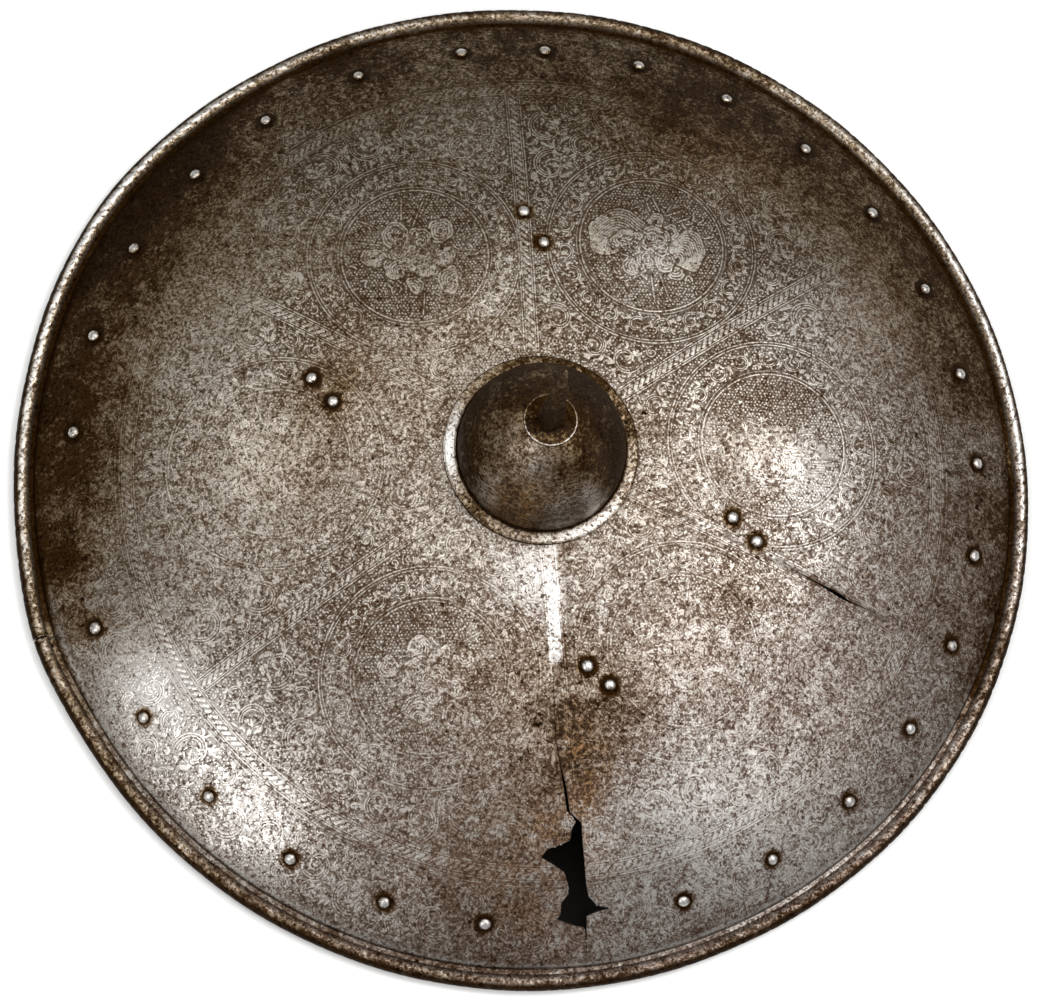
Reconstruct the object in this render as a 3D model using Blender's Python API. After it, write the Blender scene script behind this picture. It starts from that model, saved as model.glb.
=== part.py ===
"""Round dished steel shield (rotella) of about 1560, lying on its rolled rim, convex side up.

The frame: +Z up, the origin on the ground at the centre of the rim. Metres. Bearings are in degrees,
counter-clockwise from +X as seen from above.
"""

import math

import bmesh
import bpy
from mathutils import Matrix, Vector
from mathutils.bvhtree import BVHTree

# Plate: the dish
DIAMETER = 0.580
SHEET = 0.0015
DISH_RISE = 0.063
DISH_FULLNESS = 3.0
DISH_STEPS = 5
EDGE_STEPS = 3

# Plate: the sunk border and the rolled rim
ROLL_DIAMETER = 0.0092
ROLL_FOOT_WIDTH = 0.0022
ROLL_START = 160.0
ROLL_END = -150.0
ROLL_OUTSIDE_STEPS = 7
ROLL_INSIDE_STEPS = 5
BORDER_WIDTH = 0.0036
BORDER_FALL = 0.0028
BORDER_WALL = 0.0014

# Plate: where hammering and damage left the rim out of round, as bearing, amount and half width
RIM_BULGES = (
    (147.0, 0.0038, 17.0),
    (200.0, 0.0026, 7.0),
    (95.0, -0.0012, 16.0),
    (295.0, -0.0014, 20.0),
)
BULGE_FADE = 4.0

# Plate: sunk grounds of the etched bands, six from the boss outward and one round the dish
TEAR_BAND = 275.5
RIGHT_BAND = 336.0
BAND_BEARINGS = (93.0, 151.0, 215.5, TEAR_BAND, RIGHT_BAND, 394.4)
BAND_WIDTH = 0.0088
BAND_WALL = 0.0004
BAND_SINK = 0.0003
RING_BAND_INSET = 0.0620
PANEL_COLUMNS = 5

# Boss
BOSS_DIAMETER = 0.1080
BOSS_FLANGE = 0.0075
BOSS_HEIGHT = 0.0567
BOSS_SHEET = 0.0012
BOSS_X = 0.0021
BOSS_Y = -0.0007
BOSS_SIDES = 24
BOSS_STEPS = 5

# Washer, spike and tang
WASHER_DIAMETER = 0.0294
WASHER_THICKNESS = 0.0020
WASHER_BEVEL = 0.0005
WASHER_SIDES = 16
SPIKE_LENGTH = 0.0870
SPIKE_BASE = 0.0125
SPIKE_TIP = 0.0014
SPIKE_EDGE_ROUNDING = 0.20
SPIKE_TURN = 20.0
TANG_DIAMETER = 0.0068
TANG_HEAD_DIAMETER = 0.0130
TANG_HEAD_THICKNESS = 0.0024
TANG_SIDES = 12

# Rivets
RIVET_HEAD_DIAMETER = 0.0068
RIVET_HEAD_HEIGHT = 0.0025
RIVET_SHANK_DIAMETER = 0.0030
RIVET_TAIL_DIAMETER = 0.0048
RIVET_TAIL_HEIGHT = 0.0010
RIVET_SIDES = 7

# Lining rivets: a ring set by hand, so its spacing wanders, in degrees; two of its places hold no rivet
LINING_INSET = 0.0332
LINING_PLACES = 29
LINING_FIRST = 2.4
LINING_CROWDING = 1.4
LINING_STRAYS = {8: -1.4, 10: 1.0}
LINING_EMPTY_PLACE = 15
LINING_TORN_PLACE = 22

# Arm strap rivets in pairs: name, the middle's bearing and distance from the centre, lean and spacing
STRAP_PAIRS = (
    ("top", 90.5, 0.1313, -60.0, 0.0220),
    ("left", 164.8, 0.1228, -49.0, 0.0180),
    ("right", 339.9, 0.1227, -44.0, 0.0185),
    ("bottom", 285.1, 0.1299, -39.0, 0.0160),
)

# Clearance between pieces that touch, and how far a cutter runs past the sheet
GAP = 0.0003
CUT_OVER = 0.0040

# Torn hole on a band: its outline, in millimetres across the band and in from the rim
TEAR_OUTLINE = (
    (6.6, 85.0), (6.5, 75.0), (7.1, 54.0), (8.1, 47.2), (12.7, 41.2), (21.9, 40.2), (6.8, 37.2),
    (-1.8, 33.1), (-10.4, 36.5), (-6.9, 45.2), (-2.6, 52.0), (-4.4, 59.6), (-16.9, 68.8),
    (-12.8, 73.0), (-0.3, 76.5), (0.8, 82.2), (3.7, 86.1),
)

# Cracks: name, bearing, and the line as millimetres across that bearing, in from the rim, and wide
CRACKS = (
    ("tear_to_boss", TEAR_BAND, ((4.5, 80.0, 2.0), (-0.3, 90.5, 1.7), (-1.5, 105.5, 1.5),
                                 (-2.7, 112.5, 0.5), (-4.4, 129.0, 0.4), (-3.8, 150.5, 0.4),
                                 (-2.4, 173.5, 0.0))),
    ("tear_to_rim", TEAR_BAND, ((5.0, 42.0, 1.0), (6.0, 30.5, 0.8), (5.8, 10.0, 0.0))),
    ("side_crack", RIGHT_BAND, ((2.3, 77.0, 0.0), (1.0, 88.5, 0.5), (-0.3, 96.0, 0.8),
                                (0.1, 104.0, 2.6), (0.4, 109.0, 2.2), (0.2, 114.0, 0.8),
                                (0.4, 132.0, 0.5), (2.6, 145.0, 0.0))),
    ("rim_crack", 200.0, ((-1.6, -9.0, 1.2), (-1.2, 5.0, 1.1), (1.0, 12.0, 0.8), (8.5, 23.0, 0.0))),
)

MM = 0.001

RIM_RADIUS = DIAMETER / 2.0
ROLL_RADIUS = ROLL_DIAMETER / 2.0
ROLL_HEIGHT = math.sqrt(ROLL_RADIUS ** 2 - (ROLL_FOOT_WIDTH / 2.0) ** 2)
ROLL_CENTRE = RIM_RADIUS - ROLL_RADIUS
BORDER_HEIGHT = ROLL_HEIGHT + ROLL_RADIUS * math.sin(math.radians(ROLL_START))
EDGE_RADIUS = ROLL_CENTRE + ROLL_RADIUS * math.cos(math.radians(ROLL_START)) - BORDER_WIDTH
EDGE_HEIGHT = BORDER_HEIGHT + BORDER_FALL
RING_BAND_RADIUS = RIM_RADIUS - RING_BAND_INSET
LINING_RADIUS = RIM_RADIUS - LINING_INSET
BOSS_RADIUS = BOSS_DIAMETER / 2.0
BOSS_PLACE = Vector((BOSS_X, BOSS_Y, 0.0))


def polar(radius, bearing):
    """The point on the ground at a radius and a bearing in degrees."""
    angle = math.radians(bearing)
    return Vector((radius * math.cos(angle), radius * math.sin(angle), 0.0))


def steps(first, last, count):
    """Evenly spaced values from first to last, both included."""
    return [first + (last - first) * i / count for i in range(count + 1)]


def dish_height(radius):
    """Height of the dish's outer face: flat at the middle, steeper and steeper towards its edge."""
    return EDGE_HEIGHT + DISH_RISE * (1.0 - (radius / EDGE_RADIUS) ** DISH_FULLNESS)


def dish_inside(radius):
    """The point a sheet's thickness behind the outer face, as radius and height."""
    fall = DISH_RISE * DISH_FULLNESS * radius ** (DISH_FULLNESS - 1.0) / EDGE_RADIUS ** DISH_FULLNESS
    length = math.hypot(fall, 1.0)
    return radius - SHEET * fall / length, dish_height(radius) - SHEET / length


def out_of_round(bearing):
    """How far the rim stands out of its circle at a bearing."""
    total = 0.0
    for centre, amount, spread in RIM_BULGES:
        away = (bearing - centre + 180.0) % 360.0 - 180.0
        total += amount * math.exp(-(away / spread) ** 2)
    return total


def plate_point(radius, bearing, height):
    """A point of the plate; the rim's bulges die away towards the middle."""
    shift = out_of_round(bearing) * (radius / RIM_RADIUS) ** BULGE_FADE
    return polar(radius + shift, bearing) + Vector((0.0, 0.0, height))


def roll_arc(radius, first, last, count):
    """Points round the roll's section, by angle in degrees, as radius and height."""
    points = []
    for angle in steps(math.radians(first), math.radians(last), count):
        points.append((ROLL_CENTRE + radius * math.cos(angle), ROLL_HEIGHT + radius * math.sin(angle)))
    return points


def roll_section():
    """The roll over its outside to the sheet's free end, then back through its hollow."""
    foot = math.degrees(math.asin(ROLL_FOOT_WIDTH / 2.0 / ROLL_RADIUS))
    outside = roll_arc(ROLL_RADIUS, ROLL_START, foot - 90.0, ROLL_OUTSIDE_STEPS)
    outside += roll_arc(ROLL_RADIUS, -90.0 - foot, ROLL_END, 2)
    hollow = ROLL_RADIUS - SHEET
    meets_border = 180.0 - math.degrees(math.asin((BORDER_HEIGHT - SHEET - ROLL_HEIGHT) / hollow))
    return outside + roll_arc(hollow, ROLL_END, meets_border, ROLL_INSIDE_STEPS)


def plate_section(sink):
    """The plate's section from its middle over the outside and back inside: radius, height, on a band."""
    half = BAND_WIDTH / 2.0
    inner = steps(BOSS_RADIUS, RING_BAND_RADIUS - half - BAND_WALL, DISH_STEPS)
    outer = steps(RING_BAND_RADIUS + half + BAND_WALL, EDGE_RADIUS, EDGE_STEPS)
    section = [(radius, dish_height(radius), True) for radius in inner]
    for radius in (RING_BAND_RADIUS - half, RING_BAND_RADIUS + half):
        section.append((radius, dish_height(radius) - sink, False))
    section += [(radius, dish_height(radius), False) for radius in outer]
    section.append((EDGE_RADIUS + BORDER_WALL, BORDER_HEIGHT, False))
    section += [(radius, height, False) for radius, height in roll_section()]
    section.append((EDGE_RADIUS + BORDER_WALL - SHEET, BORDER_HEIGHT - SHEET, False))
    for radius in reversed(inner[:-1] + [RING_BAND_RADIUS] + outer[1:]):
        section.append((*dish_inside(radius), False))
    return section


def column_bearings(radius):
    """Bearings of the plate's columns: along the bands' edges inside, evenly spaced at the rim."""
    half = BAND_WIDTH / 2.0
    ground = math.degrees(math.asin(half / radius))
    wall = math.degrees(math.asin((half + BAND_WALL) / radius))
    following = BAND_BEARINGS[1:] + (BAND_BEARINGS[0] + 360.0,)
    bearings = []
    for band, next_band in zip(BAND_BEARINGS, following):
        bearings += [band - wall, band - ground, band + ground]
        bearings += steps(band + wall, next_band - wall, PANEL_COLUMNS + 1)[:-1]
    start = RING_BAND_RADIUS + half + BAND_WALL
    share = min(max((radius - start) / (EDGE_RADIUS - start), 0.0), 1.0)
    pitch = 360.0 / len(bearings)
    even = [BAND_BEARINGS[0] + (column - 1.5) * pitch for column in range(len(bearings))]
    return [band + (free - band) * share for band, free in zip(bearings, even)]


def plate_mesh(sink):
    """The plate's closed mesh, with its band grounds sunk by an amount."""
    bm = bmesh.new()
    per_band = PANEL_COLUMNS + 4
    rings = []
    for radius, height, on_band in plate_section(sink):
        ring = []
        for column, bearing in enumerate(column_bearings(radius)):
            depth = sink if on_band and column % per_band in (1, 2) else 0.0
            ring.append(bm.verts.new(plate_point(radius, bearing, height - depth)))
        rings.append(ring)
    for ring, next_ring in zip(rings, rings[1:]):
        for column in range(len(ring)):
            left = ring[column - 1]
            bm.faces.new((left, next_ring[column - 1], next_ring[column], ring[column]))
    top = bm.verts.new((0.0, 0.0, dish_height(0.0)))
    bottom = bm.verts.new((0.0, 0.0, dish_height(0.0) - SHEET))
    for column in range(len(rings[0])):
        bm.faces.new((top, rings[0][column - 1], rings[0][column]))
        bm.faces.new((bottom, rings[-1][column], rings[-1][column - 1]))
    return bm


def turned_mesh(profile, sides, closed=False):
    """A profile of radius and height turned about the Z axis; a closed one makes a ring."""
    bm = bmesh.new()
    verts = [bm.verts.new((radius, 0.0, height)) for radius, height in profile]
    pairs = list(zip(verts, verts[1:]))
    if closed:
        pairs.append((verts[-1], verts[0]))
    edges = [bm.edges.new(pair) for pair in pairs]
    bmesh.ops.spin(bm, geom=verts + edges, cent=(0.0, 0.0, 0.0), axis=(0.0, 0.0, 1.0),
                   angle=2.0 * math.pi, steps=sides, use_merge=True)
    bmesh.ops.remove_doubles(bm, verts=bm.verts, dist=1e-6)
    return bm


def add_prism(bm, outline, low, high):
    """A closed prism over an outline of ground points, added to a mesh."""
    floor = [bm.verts.new(point + Vector((0.0, 0.0, low))) for point in outline]
    roof = [bm.verts.new(point + Vector((0.0, 0.0, high))) for point in outline]
    bm.faces.new(floor)
    bm.faces.new(roof)
    for i in range(len(outline)):
        bm.faces.new((floor[i - 1], floor[i], roof[i], roof[i - 1]))


def add_peg(bm, place, radius, sides):
    """A closed peg along Z of a placing, added to a mesh; its flats lie a radius from its axis."""
    corner = radius / math.cos(math.pi / sides)
    bmesh.ops.create_cone(bm, cap_ends=True, segments=sides, radius1=corner, radius2=corner,
                          depth=2.0 * CUT_OVER + SHEET, matrix=place)


def to_mesh(name, bm, material=None):
    """Turn a bmesh into a mesh with its faces pointing out."""
    bmesh.ops.recalc_face_normals(bm, faces=bm.faces)
    mesh = bpy.data.meshes.new(name)
    bm.to_mesh(mesh)
    bm.free()
    if material:
        mesh.materials.append(material)
        mesh.shade_smooth()
        mesh.set_sharp_from_angle(angle=math.radians(35.0))
    return mesh


def add_object(name, mesh, place=None):
    """Put a mesh in the scene as a named object."""
    made = bpy.data.objects.new(name, mesh)
    bpy.context.collection.objects.link(made)
    if place:
        made.matrix_world = place
    return made


def cut(target, name, bm):
    """Cut a closed mesh out of an object."""
    cutter = add_object(name, to_mesh(name, bm))
    cutter.hide_render = True
    cutter.display_type = "WIRE"
    boolean = target.modifiers.new(name, "BOOLEAN")
    boolean.operation = "DIFFERENCE"
    boolean.solver = "EXACT"
    boolean.object = cutter


def metal(name, colour, roughness):
    """A steel with its own colour and roughness."""
    material = bpy.data.materials.new(name)
    material.use_nodes = True
    shader = material.node_tree.nodes["Principled BSDF"]
    shader.inputs["Base Color"].default_value = (*colour, 1.0)
    shader.inputs["Metallic"].default_value = 0.9
    shader.inputs["Roughness"].default_value = roughness
    return material


def seat_on(tree, ground_point):
    """A placing on the dish over a ground point: its origin on the face, its Z along the normal."""
    above = Vector((ground_point.x, ground_point.y, 2.0 * DISH_RISE + EDGE_HEIGHT))
    point, normal, _, _ = tree.ray_cast(above, Vector((0.0, 0.0, -1.0)))
    return Matrix.Translation(point) @ normal.to_track_quat("Z", "Y").to_matrix().to_4x4()


def grip_of(tree, place, reach):
    """How far behind a seat the sheet ends, anywhere within a reach of the seat's axis."""
    out = place.col[2].to_3d()
    grip = SHEET
    for turn in range(RIVET_SIDES):
        side = polar(reach, 360.0 * turn / RIVET_SIDES) - Vector((0.0, 0.0, 2.0 * CUT_OVER + SHEET))
        hit = tree.ray_cast(place @ side, out)[0]
        grip = max(grip, (place.translation - hit).dot(out))
    return grip


def lining_points():
    """Ground points of the lining rivets' ring, by place."""
    points = {}
    for number in range(LINING_PLACES):
        turn = number / LINING_PLACES
        wander = LINING_STRAYS.get(number, 0.0) - LINING_CROWDING * math.sin(2.0 * math.pi * turn)
        bearing = LINING_FIRST + 360.0 * turn + wander
        if number != LINING_TORN_PLACE:
            points[number] = plate_point(LINING_RADIUS, bearing, 0.0)
    return points


def strap_points():
    """Ground points of the arm straps' rivets, by name."""
    points = {}
    for name, bearing, distance, lean, spacing in STRAP_PAIRS:
        middle = polar(distance, bearing)
        points[f"{name}_1"] = middle - polar(spacing / 2.0, lean)
        points[f"{name}_2"] = middle + polar(spacing / 2.0, lean)
    return points


def rivet_mesh(grip, material):
    """A rivet about its seat: a domed head outside, a shank through the sheet and a spread tail."""
    head = RIVET_HEAD_DIAMETER / 2.0
    shank = RIVET_SHANK_DIAMETER / 2.0
    behind = -grip - GAP
    profile = [(0.0, GAP + RIVET_HEAD_HEIGHT)]
    for angle in (45.0, 0.0):
        turn = math.radians(angle)
        profile.append((head * math.cos(turn), GAP + RIVET_HEAD_HEIGHT * math.sin(turn)))
    profile += [(shank, GAP), (shank, behind), (RIVET_TAIL_DIAMETER / 2.0, behind)]
    profile.append((0.0, behind - RIVET_TAIL_HEIGHT))
    return to_mesh("rivet", turned_mesh(profile, RIVET_SIDES), material)


def damage_point(bearing, across_mm, inset_mm):
    """A ground point from millimetres across a bearing and in from the rim."""
    along = polar(RIM_RADIUS - inset_mm * MM, bearing)
    return along + polar(across_mm * MM, bearing + 90.0)


def crack_outline(bearing, line):
    """A crack's outline: one side of its line and back along the other."""
    right = [damage_point(bearing, across + wide / 2.0, inset) for across, inset, wide in line]
    left = [damage_point(bearing, across - wide / 2.0, inset) for across, inset, wide in line if wide]
    return right + left[::-1]


def build_plate(material):
    """The plate with its rivet holes, torn hole and cracks; returns its surface for seating rivets."""
    whole = plate_mesh(0.0)
    bmesh.ops.recalc_face_normals(whole, faces=whole.faces)
    tree = BVHTree.FromBMesh(whole)
    whole.free()
    plate = add_object("plate", to_mesh("plate", plate_mesh(BAND_SINK), material))

    holes = bmesh.new()
    for point in (lining_points() | strap_points()).values():
        add_peg(holes, seat_on(tree, point), RIVET_SHANK_DIAMETER / 2.0 + GAP, RIVET_SIDES)
    tang_place = Matrix.Translation(BOSS_PLACE + Vector((0.0, 0.0, dish_height(0.0))))
    add_peg(holes, tang_place, TANG_DIAMETER / 2.0 + GAP, TANG_SIDES)
    cut(plate, "rivet_holes", holes)

    high = dish_height(0.0) + CUT_OVER
    tear = bmesh.new()
    add_prism(tear, [damage_point(TEAR_BAND, *point) for point in TEAR_OUTLINE], -CUT_OVER, high)
    cut(plate, "tear", tear)
    for name, bearing, line in CRACKS:
        crack = bmesh.new()
        add_prism(crack, crack_outline(bearing, line), -CUT_OVER, high)
        cut(plate, name, crack)
    return tree


def build_rivets(tree, material):
    """The rivets of the lining and of the arm straps, all of one length."""
    seats = {}
    for number, point in lining_points().items():
        if number != LINING_EMPTY_PLACE:
            seats[f"lining_rivet_{len(seats) + 1:02d}"] = seat_on(tree, point)
    for name, point in strap_points().items():
        seats[f"strap_rivet_{name}"] = seat_on(tree, point)
    grip = max(grip_of(tree, place, RIVET_TAIL_DIAMETER / 2.0) for place in seats.values())
    mesh = rivet_mesh(grip, material)
    for name, place in seats.items():
        add_object(name, mesh, place)


def boss_base():
    """Height of the boss's underside: clear of the dish all round its inner edge."""
    inner = BOSS_RADIUS - BOSS_FLANGE - BOSS_SHEET - BOSS_PLACE.length
    return dish_height(inner) + GAP


def boss_dome(wall, count):
    """Points up the dome, a wall's thickness inside its outer face, as radius and height."""
    foot = BOSS_RADIUS - BOSS_FLANGE
    seat = WASHER_DIAMETER / 2.0
    last = math.acos(seat / foot)
    rise = (BOSS_HEIGHT - BOSS_SHEET) / math.sin(last)
    points = []
    for angle in steps(0.0, last, count):
        points.append(((foot - wall) * math.cos(angle), BOSS_SHEET - wall + rise * math.sin(angle)))
    return points


def build_boss(material):
    """The boss: a hollow dome with a flat flange, open below, holed at its top for the tang."""
    hole = TANG_DIAMETER / 2.0 + GAP
    outside = [(hole, BOSS_HEIGHT)] + boss_dome(0.0, BOSS_STEPS)[::-1]
    flange = [(BOSS_RADIUS, BOSS_SHEET), (BOSS_RADIUS, 0.0)]
    inside = boss_dome(BOSS_SHEET, BOSS_STEPS - 1) + [(hole, BOSS_HEIGHT - BOSS_SHEET)]
    mesh = to_mesh("boss", turned_mesh(outside + flange + inside, BOSS_SIDES, closed=True), material)
    add_object("boss", mesh, Matrix.Translation(BOSS_PLACE + Vector((0.0, 0.0, boss_base()))))


def build_washer(material):
    """The round washer between boss and spike."""
    hole = TANG_DIAMETER / 2.0 + GAP
    edge = WASHER_DIAMETER / 2.0
    profile = [(hole, WASHER_THICKNESS), (edge - WASHER_BEVEL, WASHER_THICKNESS)]
    profile += [(edge, WASHER_THICKNESS - WASHER_BEVEL), (edge, 0.0), (hole, 0.0)]
    mesh = to_mesh("spike_washer", turned_mesh(profile, WASHER_SIDES, closed=True), material)
    height = boss_base() + BOSS_HEIGHT + GAP
    add_object("spike_washer", mesh, Matrix.Translation(BOSS_PLACE + Vector((0.0, 0.0, height))))


def square_ring(width, height):
    """Twelve points of a square whose corners are taken off, three to a corner."""
    half = width / 2.0
    flat = half * (1.0 - SPIKE_EDGE_ROUNDING)
    knee = half * (1.0 - SPIKE_EDGE_ROUNDING / 3.0)
    points = []
    for quarter in range(4):
        turn = Matrix.Rotation(math.radians(90.0 * quarter + SPIKE_TURN), 3, "Z")
        for x, y in ((half, flat), (knee, knee), (flat, half)):
            points.append(turn @ Vector((x, y, height)))
    return points


def round_ring(diameter, height):
    """Points of a circle, each facing one of the square's."""
    points = []
    for side in range(TANG_SIDES):
        bearing = 15.0 + SPIKE_TURN + 360.0 * side / TANG_SIDES
        points.append(polar(diameter / 2.0, bearing) + Vector((0.0, 0.0, height)))
    return points


def build_spike(material):
    """The spike and its tang, one forging: down through washer, boss and plate, peened inside."""
    foot = boss_base() + BOSS_HEIGHT + 2.0 * GAP + WASHER_THICKNESS
    behind = dish_height(0.0) - SHEET - GAP
    rings = [
        square_ring(SPIKE_TIP, foot + SPIKE_LENGTH),
        square_ring(SPIKE_BASE, foot),
        round_ring(TANG_DIAMETER, foot),
        round_ring(TANG_DIAMETER, behind),
        round_ring(TANG_HEAD_DIAMETER, behind),
        round_ring(TANG_HEAD_DIAMETER * 0.7, behind - TANG_HEAD_THICKNESS),
    ]
    bm = bmesh.new()
    loops = [[bm.verts.new(point + BOSS_PLACE) for point in ring] for ring in rings]
    for loop, next_loop in zip(loops, loops[1:]):
        for i in range(len(loop)):
            bm.faces.new((loop[i - 1], next_loop[i - 1], next_loop[i], loop[i]))
    bm.faces.new(loops[0])
    bm.faces.new(loops[-1])
    add_object("spike", to_mesh("spike", bm, material))


def main():
    """Build the shield."""
    for old in list(bpy.data.objects):
        bpy.data.objects.remove(old, do_unlink=True)
    tree = build_plate(metal("plate_steel", (0.30, 0.25, 0.20), 0.42))
    build_rivets(tree, metal("rivet_steel", (0.42, 0.33, 0.26), 0.38))
    build_boss(metal("boss_steel", (0.16, 0.11, 0.07), 0.36))
    build_washer(metal("washer_steel", (0.34, 0.27, 0.25), 0.34))
    build_spike(metal("spike_steel", (0.13, 0.09, 0.06), 0.42))


main()
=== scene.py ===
"""Looks of an old etched steel rotella, lying convex side up on a pale studio floor.

Lengths are millimetres and bearings are degrees, counter-clockwise from +X as seen from above, until
`add_piece` turns them into metres. The shield's middle is at the origin and its rim stands on z = 0.
"""
import logging
import math
from dataclasses import dataclass, field
from enum import Enum
from typing import Callable, Sequence

import bpy
import numpy as np
from mathutils import Matrix, Vector


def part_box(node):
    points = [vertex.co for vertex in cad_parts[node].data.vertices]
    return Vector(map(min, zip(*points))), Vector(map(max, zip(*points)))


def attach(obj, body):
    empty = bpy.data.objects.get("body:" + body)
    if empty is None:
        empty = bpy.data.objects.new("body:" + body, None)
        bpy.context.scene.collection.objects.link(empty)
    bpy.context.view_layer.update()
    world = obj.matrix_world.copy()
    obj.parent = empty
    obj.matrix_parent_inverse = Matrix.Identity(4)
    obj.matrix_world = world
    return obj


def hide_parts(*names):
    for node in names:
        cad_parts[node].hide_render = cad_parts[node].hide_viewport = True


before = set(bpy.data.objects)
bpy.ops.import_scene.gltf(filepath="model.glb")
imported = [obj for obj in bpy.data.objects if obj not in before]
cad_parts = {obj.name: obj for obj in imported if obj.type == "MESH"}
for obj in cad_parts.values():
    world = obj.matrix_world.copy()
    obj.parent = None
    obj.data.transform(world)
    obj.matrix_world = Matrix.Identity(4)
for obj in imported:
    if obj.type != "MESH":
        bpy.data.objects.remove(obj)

log = logging.getLogger("rotella")
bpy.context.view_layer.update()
MM = 0.001
SHARP_EDGE = 42.0
NO_FACES = np.zeros((0, 3), dtype=int)
Array = np.ndarray
Rgb = tuple[float, float, float]
Mesh = tuple[Array, Array, Array]
Pair = tuple[float, float]
Rows = tuple[tuple[float, ...], ...]
Material = bpy.types.Material
NodeTree = bpy.types.NodeTree
Socket = bpy.types.NodeSocket


def node_box(node: str) -> tuple[Array, Array]:
    """Return a CAD node's lowest and highest corners in millimetres."""
    low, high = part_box(node)
    return np.array(low) / MM, np.array(high) / MM


def polar(radius: Array | float, bearing: Array | float) -> Array:
    """Return ground points at radii and bearings, as an array whose last axis is x, y."""
    angle = np.radians(bearing)
    return np.stack(np.broadcast_arrays(radius * np.cos(angle), radius * np.sin(angle)), axis=-1)


def bearing_of(points: Array) -> Array:
    """Return the bearings of ground points."""
    return np.degrees(np.arctan2(points[..., 1], points[..., 0]))


def turn_from(bearing: Array, centre: float) -> Array:
    """Return how far bearings are turned from one of them, from -180 to 180 degrees."""
    return (bearing - centre + 180.0) % 360.0 - 180.0


def distance(points: Array, middle: Sequence[float]) -> Array:
    """Return how far points are from a ground point, as seen from above."""
    return np.hypot(points[..., 0] - middle[0], points[..., 1] - middle[1])


def sideways(paths: Array) -> Array:
    """Return unit vectors to the left of ground paths, at each station.

    Args:
        paths: Paths by stations by two.

    Returns:
        The vectors.
    """
    tangent = np.gradient(paths, axis=1)
    side = np.stack([-tangent[..., 1], tangent[..., 0]], axis=-1)
    return side / (np.linalg.norm(side, axis=-1, keepdims=True) + 1e-9)


def at_heights(ground: Array, heights: Array) -> Array:
    """Return rows of ground points with each row's height after them."""
    return np.concatenate([ground, np.broadcast_to(heights[:, None, None], (*ground.shape[:2], 1))], axis=-1)


def srgb(red: float, green: float, blue: float) -> Rgb:
    """Turn a display colour from 0 to 255 into a linear one."""
    return tuple((value / 255.0) ** 2.2 for value in (red, green, blue))


def bounded(value: Array) -> Array:
    """Keep values between 0 and 1."""
    return np.clip(value, 0.0, 1.0)


def bell(away: Array, reach: float) -> Array:
    """Return a bell curve, exp(-(away / reach) squared)."""
    return np.exp(-(away / reach) ** 2)


def smooth_step(value: Array, low: float, high: float) -> Array:
    """Rise smoothly from 0 at low to 1 at high."""
    share = bounded((value - low) / (high - low))
    return share * share * (3.0 - 2.0 * share)


def grid_quads(rows: int, columns: int, round_and_round: bool = False) -> Array:
    """Return the quads of a grid of points, row after row; it may close on its first column.

    Args:
        rows: How many rows of points there are.
        columns: How many points each row has.
        round_and_round: Whether the last column joins the first.

    Returns:
        The corners of each quad, counter-clockwise where rows run outwards and columns turn left.
    """
    row, column = np.meshgrid(np.arange(rows - 1), np.arange(columns - 1 + round_and_round), indexing="ij")
    here, there = row * columns + column, row * columns + (column + 1) % columns
    return np.stack([here, here + columns, there + columns, there], axis=-1).reshape(-1, 4)


def add_piece(name: str, shape: Mesh, materials: Sequence[Material], fields: dict[str, Array] | None = None,
              kinds: Array | None = None, slot: str = "", nodes: Sequence[str] = ()) -> bpy.types.Object:
    """Put a mesh in the scene at the origin, smooth but for its sharp edges, riding on the shield if it has
    a slot.

    Args:
        name: The piece's name.
        shape: Its points in millimetres, perhaps with a value after each, its quads and its triangles.
        materials: Its materials; the first covers it unless kinds says otherwise.
        fields: Named values, one for each point, that the materials read.
        kinds: Which material each face has.
        slot: Whether it rides on the shield: when given, the piece is attached to the root body; the name is
            not stored.
        nodes: The CAD nodes that it replaces.

    Returns:
        The new object.
    """
    points, quads, triangles = shape
    mesh = bpy.data.meshes.new(name)
    mesh.vertices.add(len(points))
    mesh.vertices.foreach_set("co", (points[:, :3] * MM).astype(np.float32).ravel())
    corners = np.concatenate([quads.ravel(), triangles.ravel()]).astype(np.int32)
    sizes = np.concatenate([np.full(len(quads), 4), np.full(len(triangles), 3)])
    mesh.loops.add(len(corners))
    mesh.loops.foreach_set("vertex_index", corners)
    mesh.polygons.add(len(sizes))
    mesh.polygons.foreach_set("loop_start", (np.cumsum(sizes) - sizes).astype(np.int32))
    mesh.update(calc_edges=True)
    mesh.validate()
    for key, values in (fields or {}).items():
        layer = mesh.attributes.new(key, "FLOAT", "POINT")
        layer.data.foreach_set("value", values.astype(np.float32).ravel())
    for material in materials:
        mesh.materials.append(material)
    if kinds is not None:
        mesh.polygons.foreach_set("material_index", kinds.astype(np.int32))
    mesh.shade_smooth()
    mesh.set_sharp_from_angle(angle=math.radians(SHARP_EDGE))
    piece = bpy.data.objects.new(name, mesh)
    bpy.context.collection.objects.link(piece)
    if slot:
        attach(piece, "root")
    if nodes:
        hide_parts(*nodes)
    log.info("%s: %d faces", name, len(sizes))
    return piece


def thicken(outer: Array, inner: Array, quads: Array) -> Mesh:
    """Close a sheet: its outer face, its inner face turned over, and a wall along each free edge.

    Args:
        outer: The outer face's points.
        inner: The inner face's points, in the same order.
        quads: The outer face's quads.

    Returns:
        The points, the quads, and each quad's kind: 0 outside, 1 inside and 2 wall.
    """
    count = len(outer)
    edges = np.stack([quads, np.roll(quads, -1, axis=1)], axis=-1).reshape(-1, 2)
    free = edges[~np.isin(edges @ (count, 1), edges @ (1, count))]
    wall = np.concatenate([free[:, ::-1], free + count], axis=1)
    return (np.concatenate([outer, inner]), np.concatenate([quads, quads[:, ::-1] + count, wall]),
            np.repeat([0, 1, 2], [len(quads), len(quads), len(wall)]))


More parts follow.
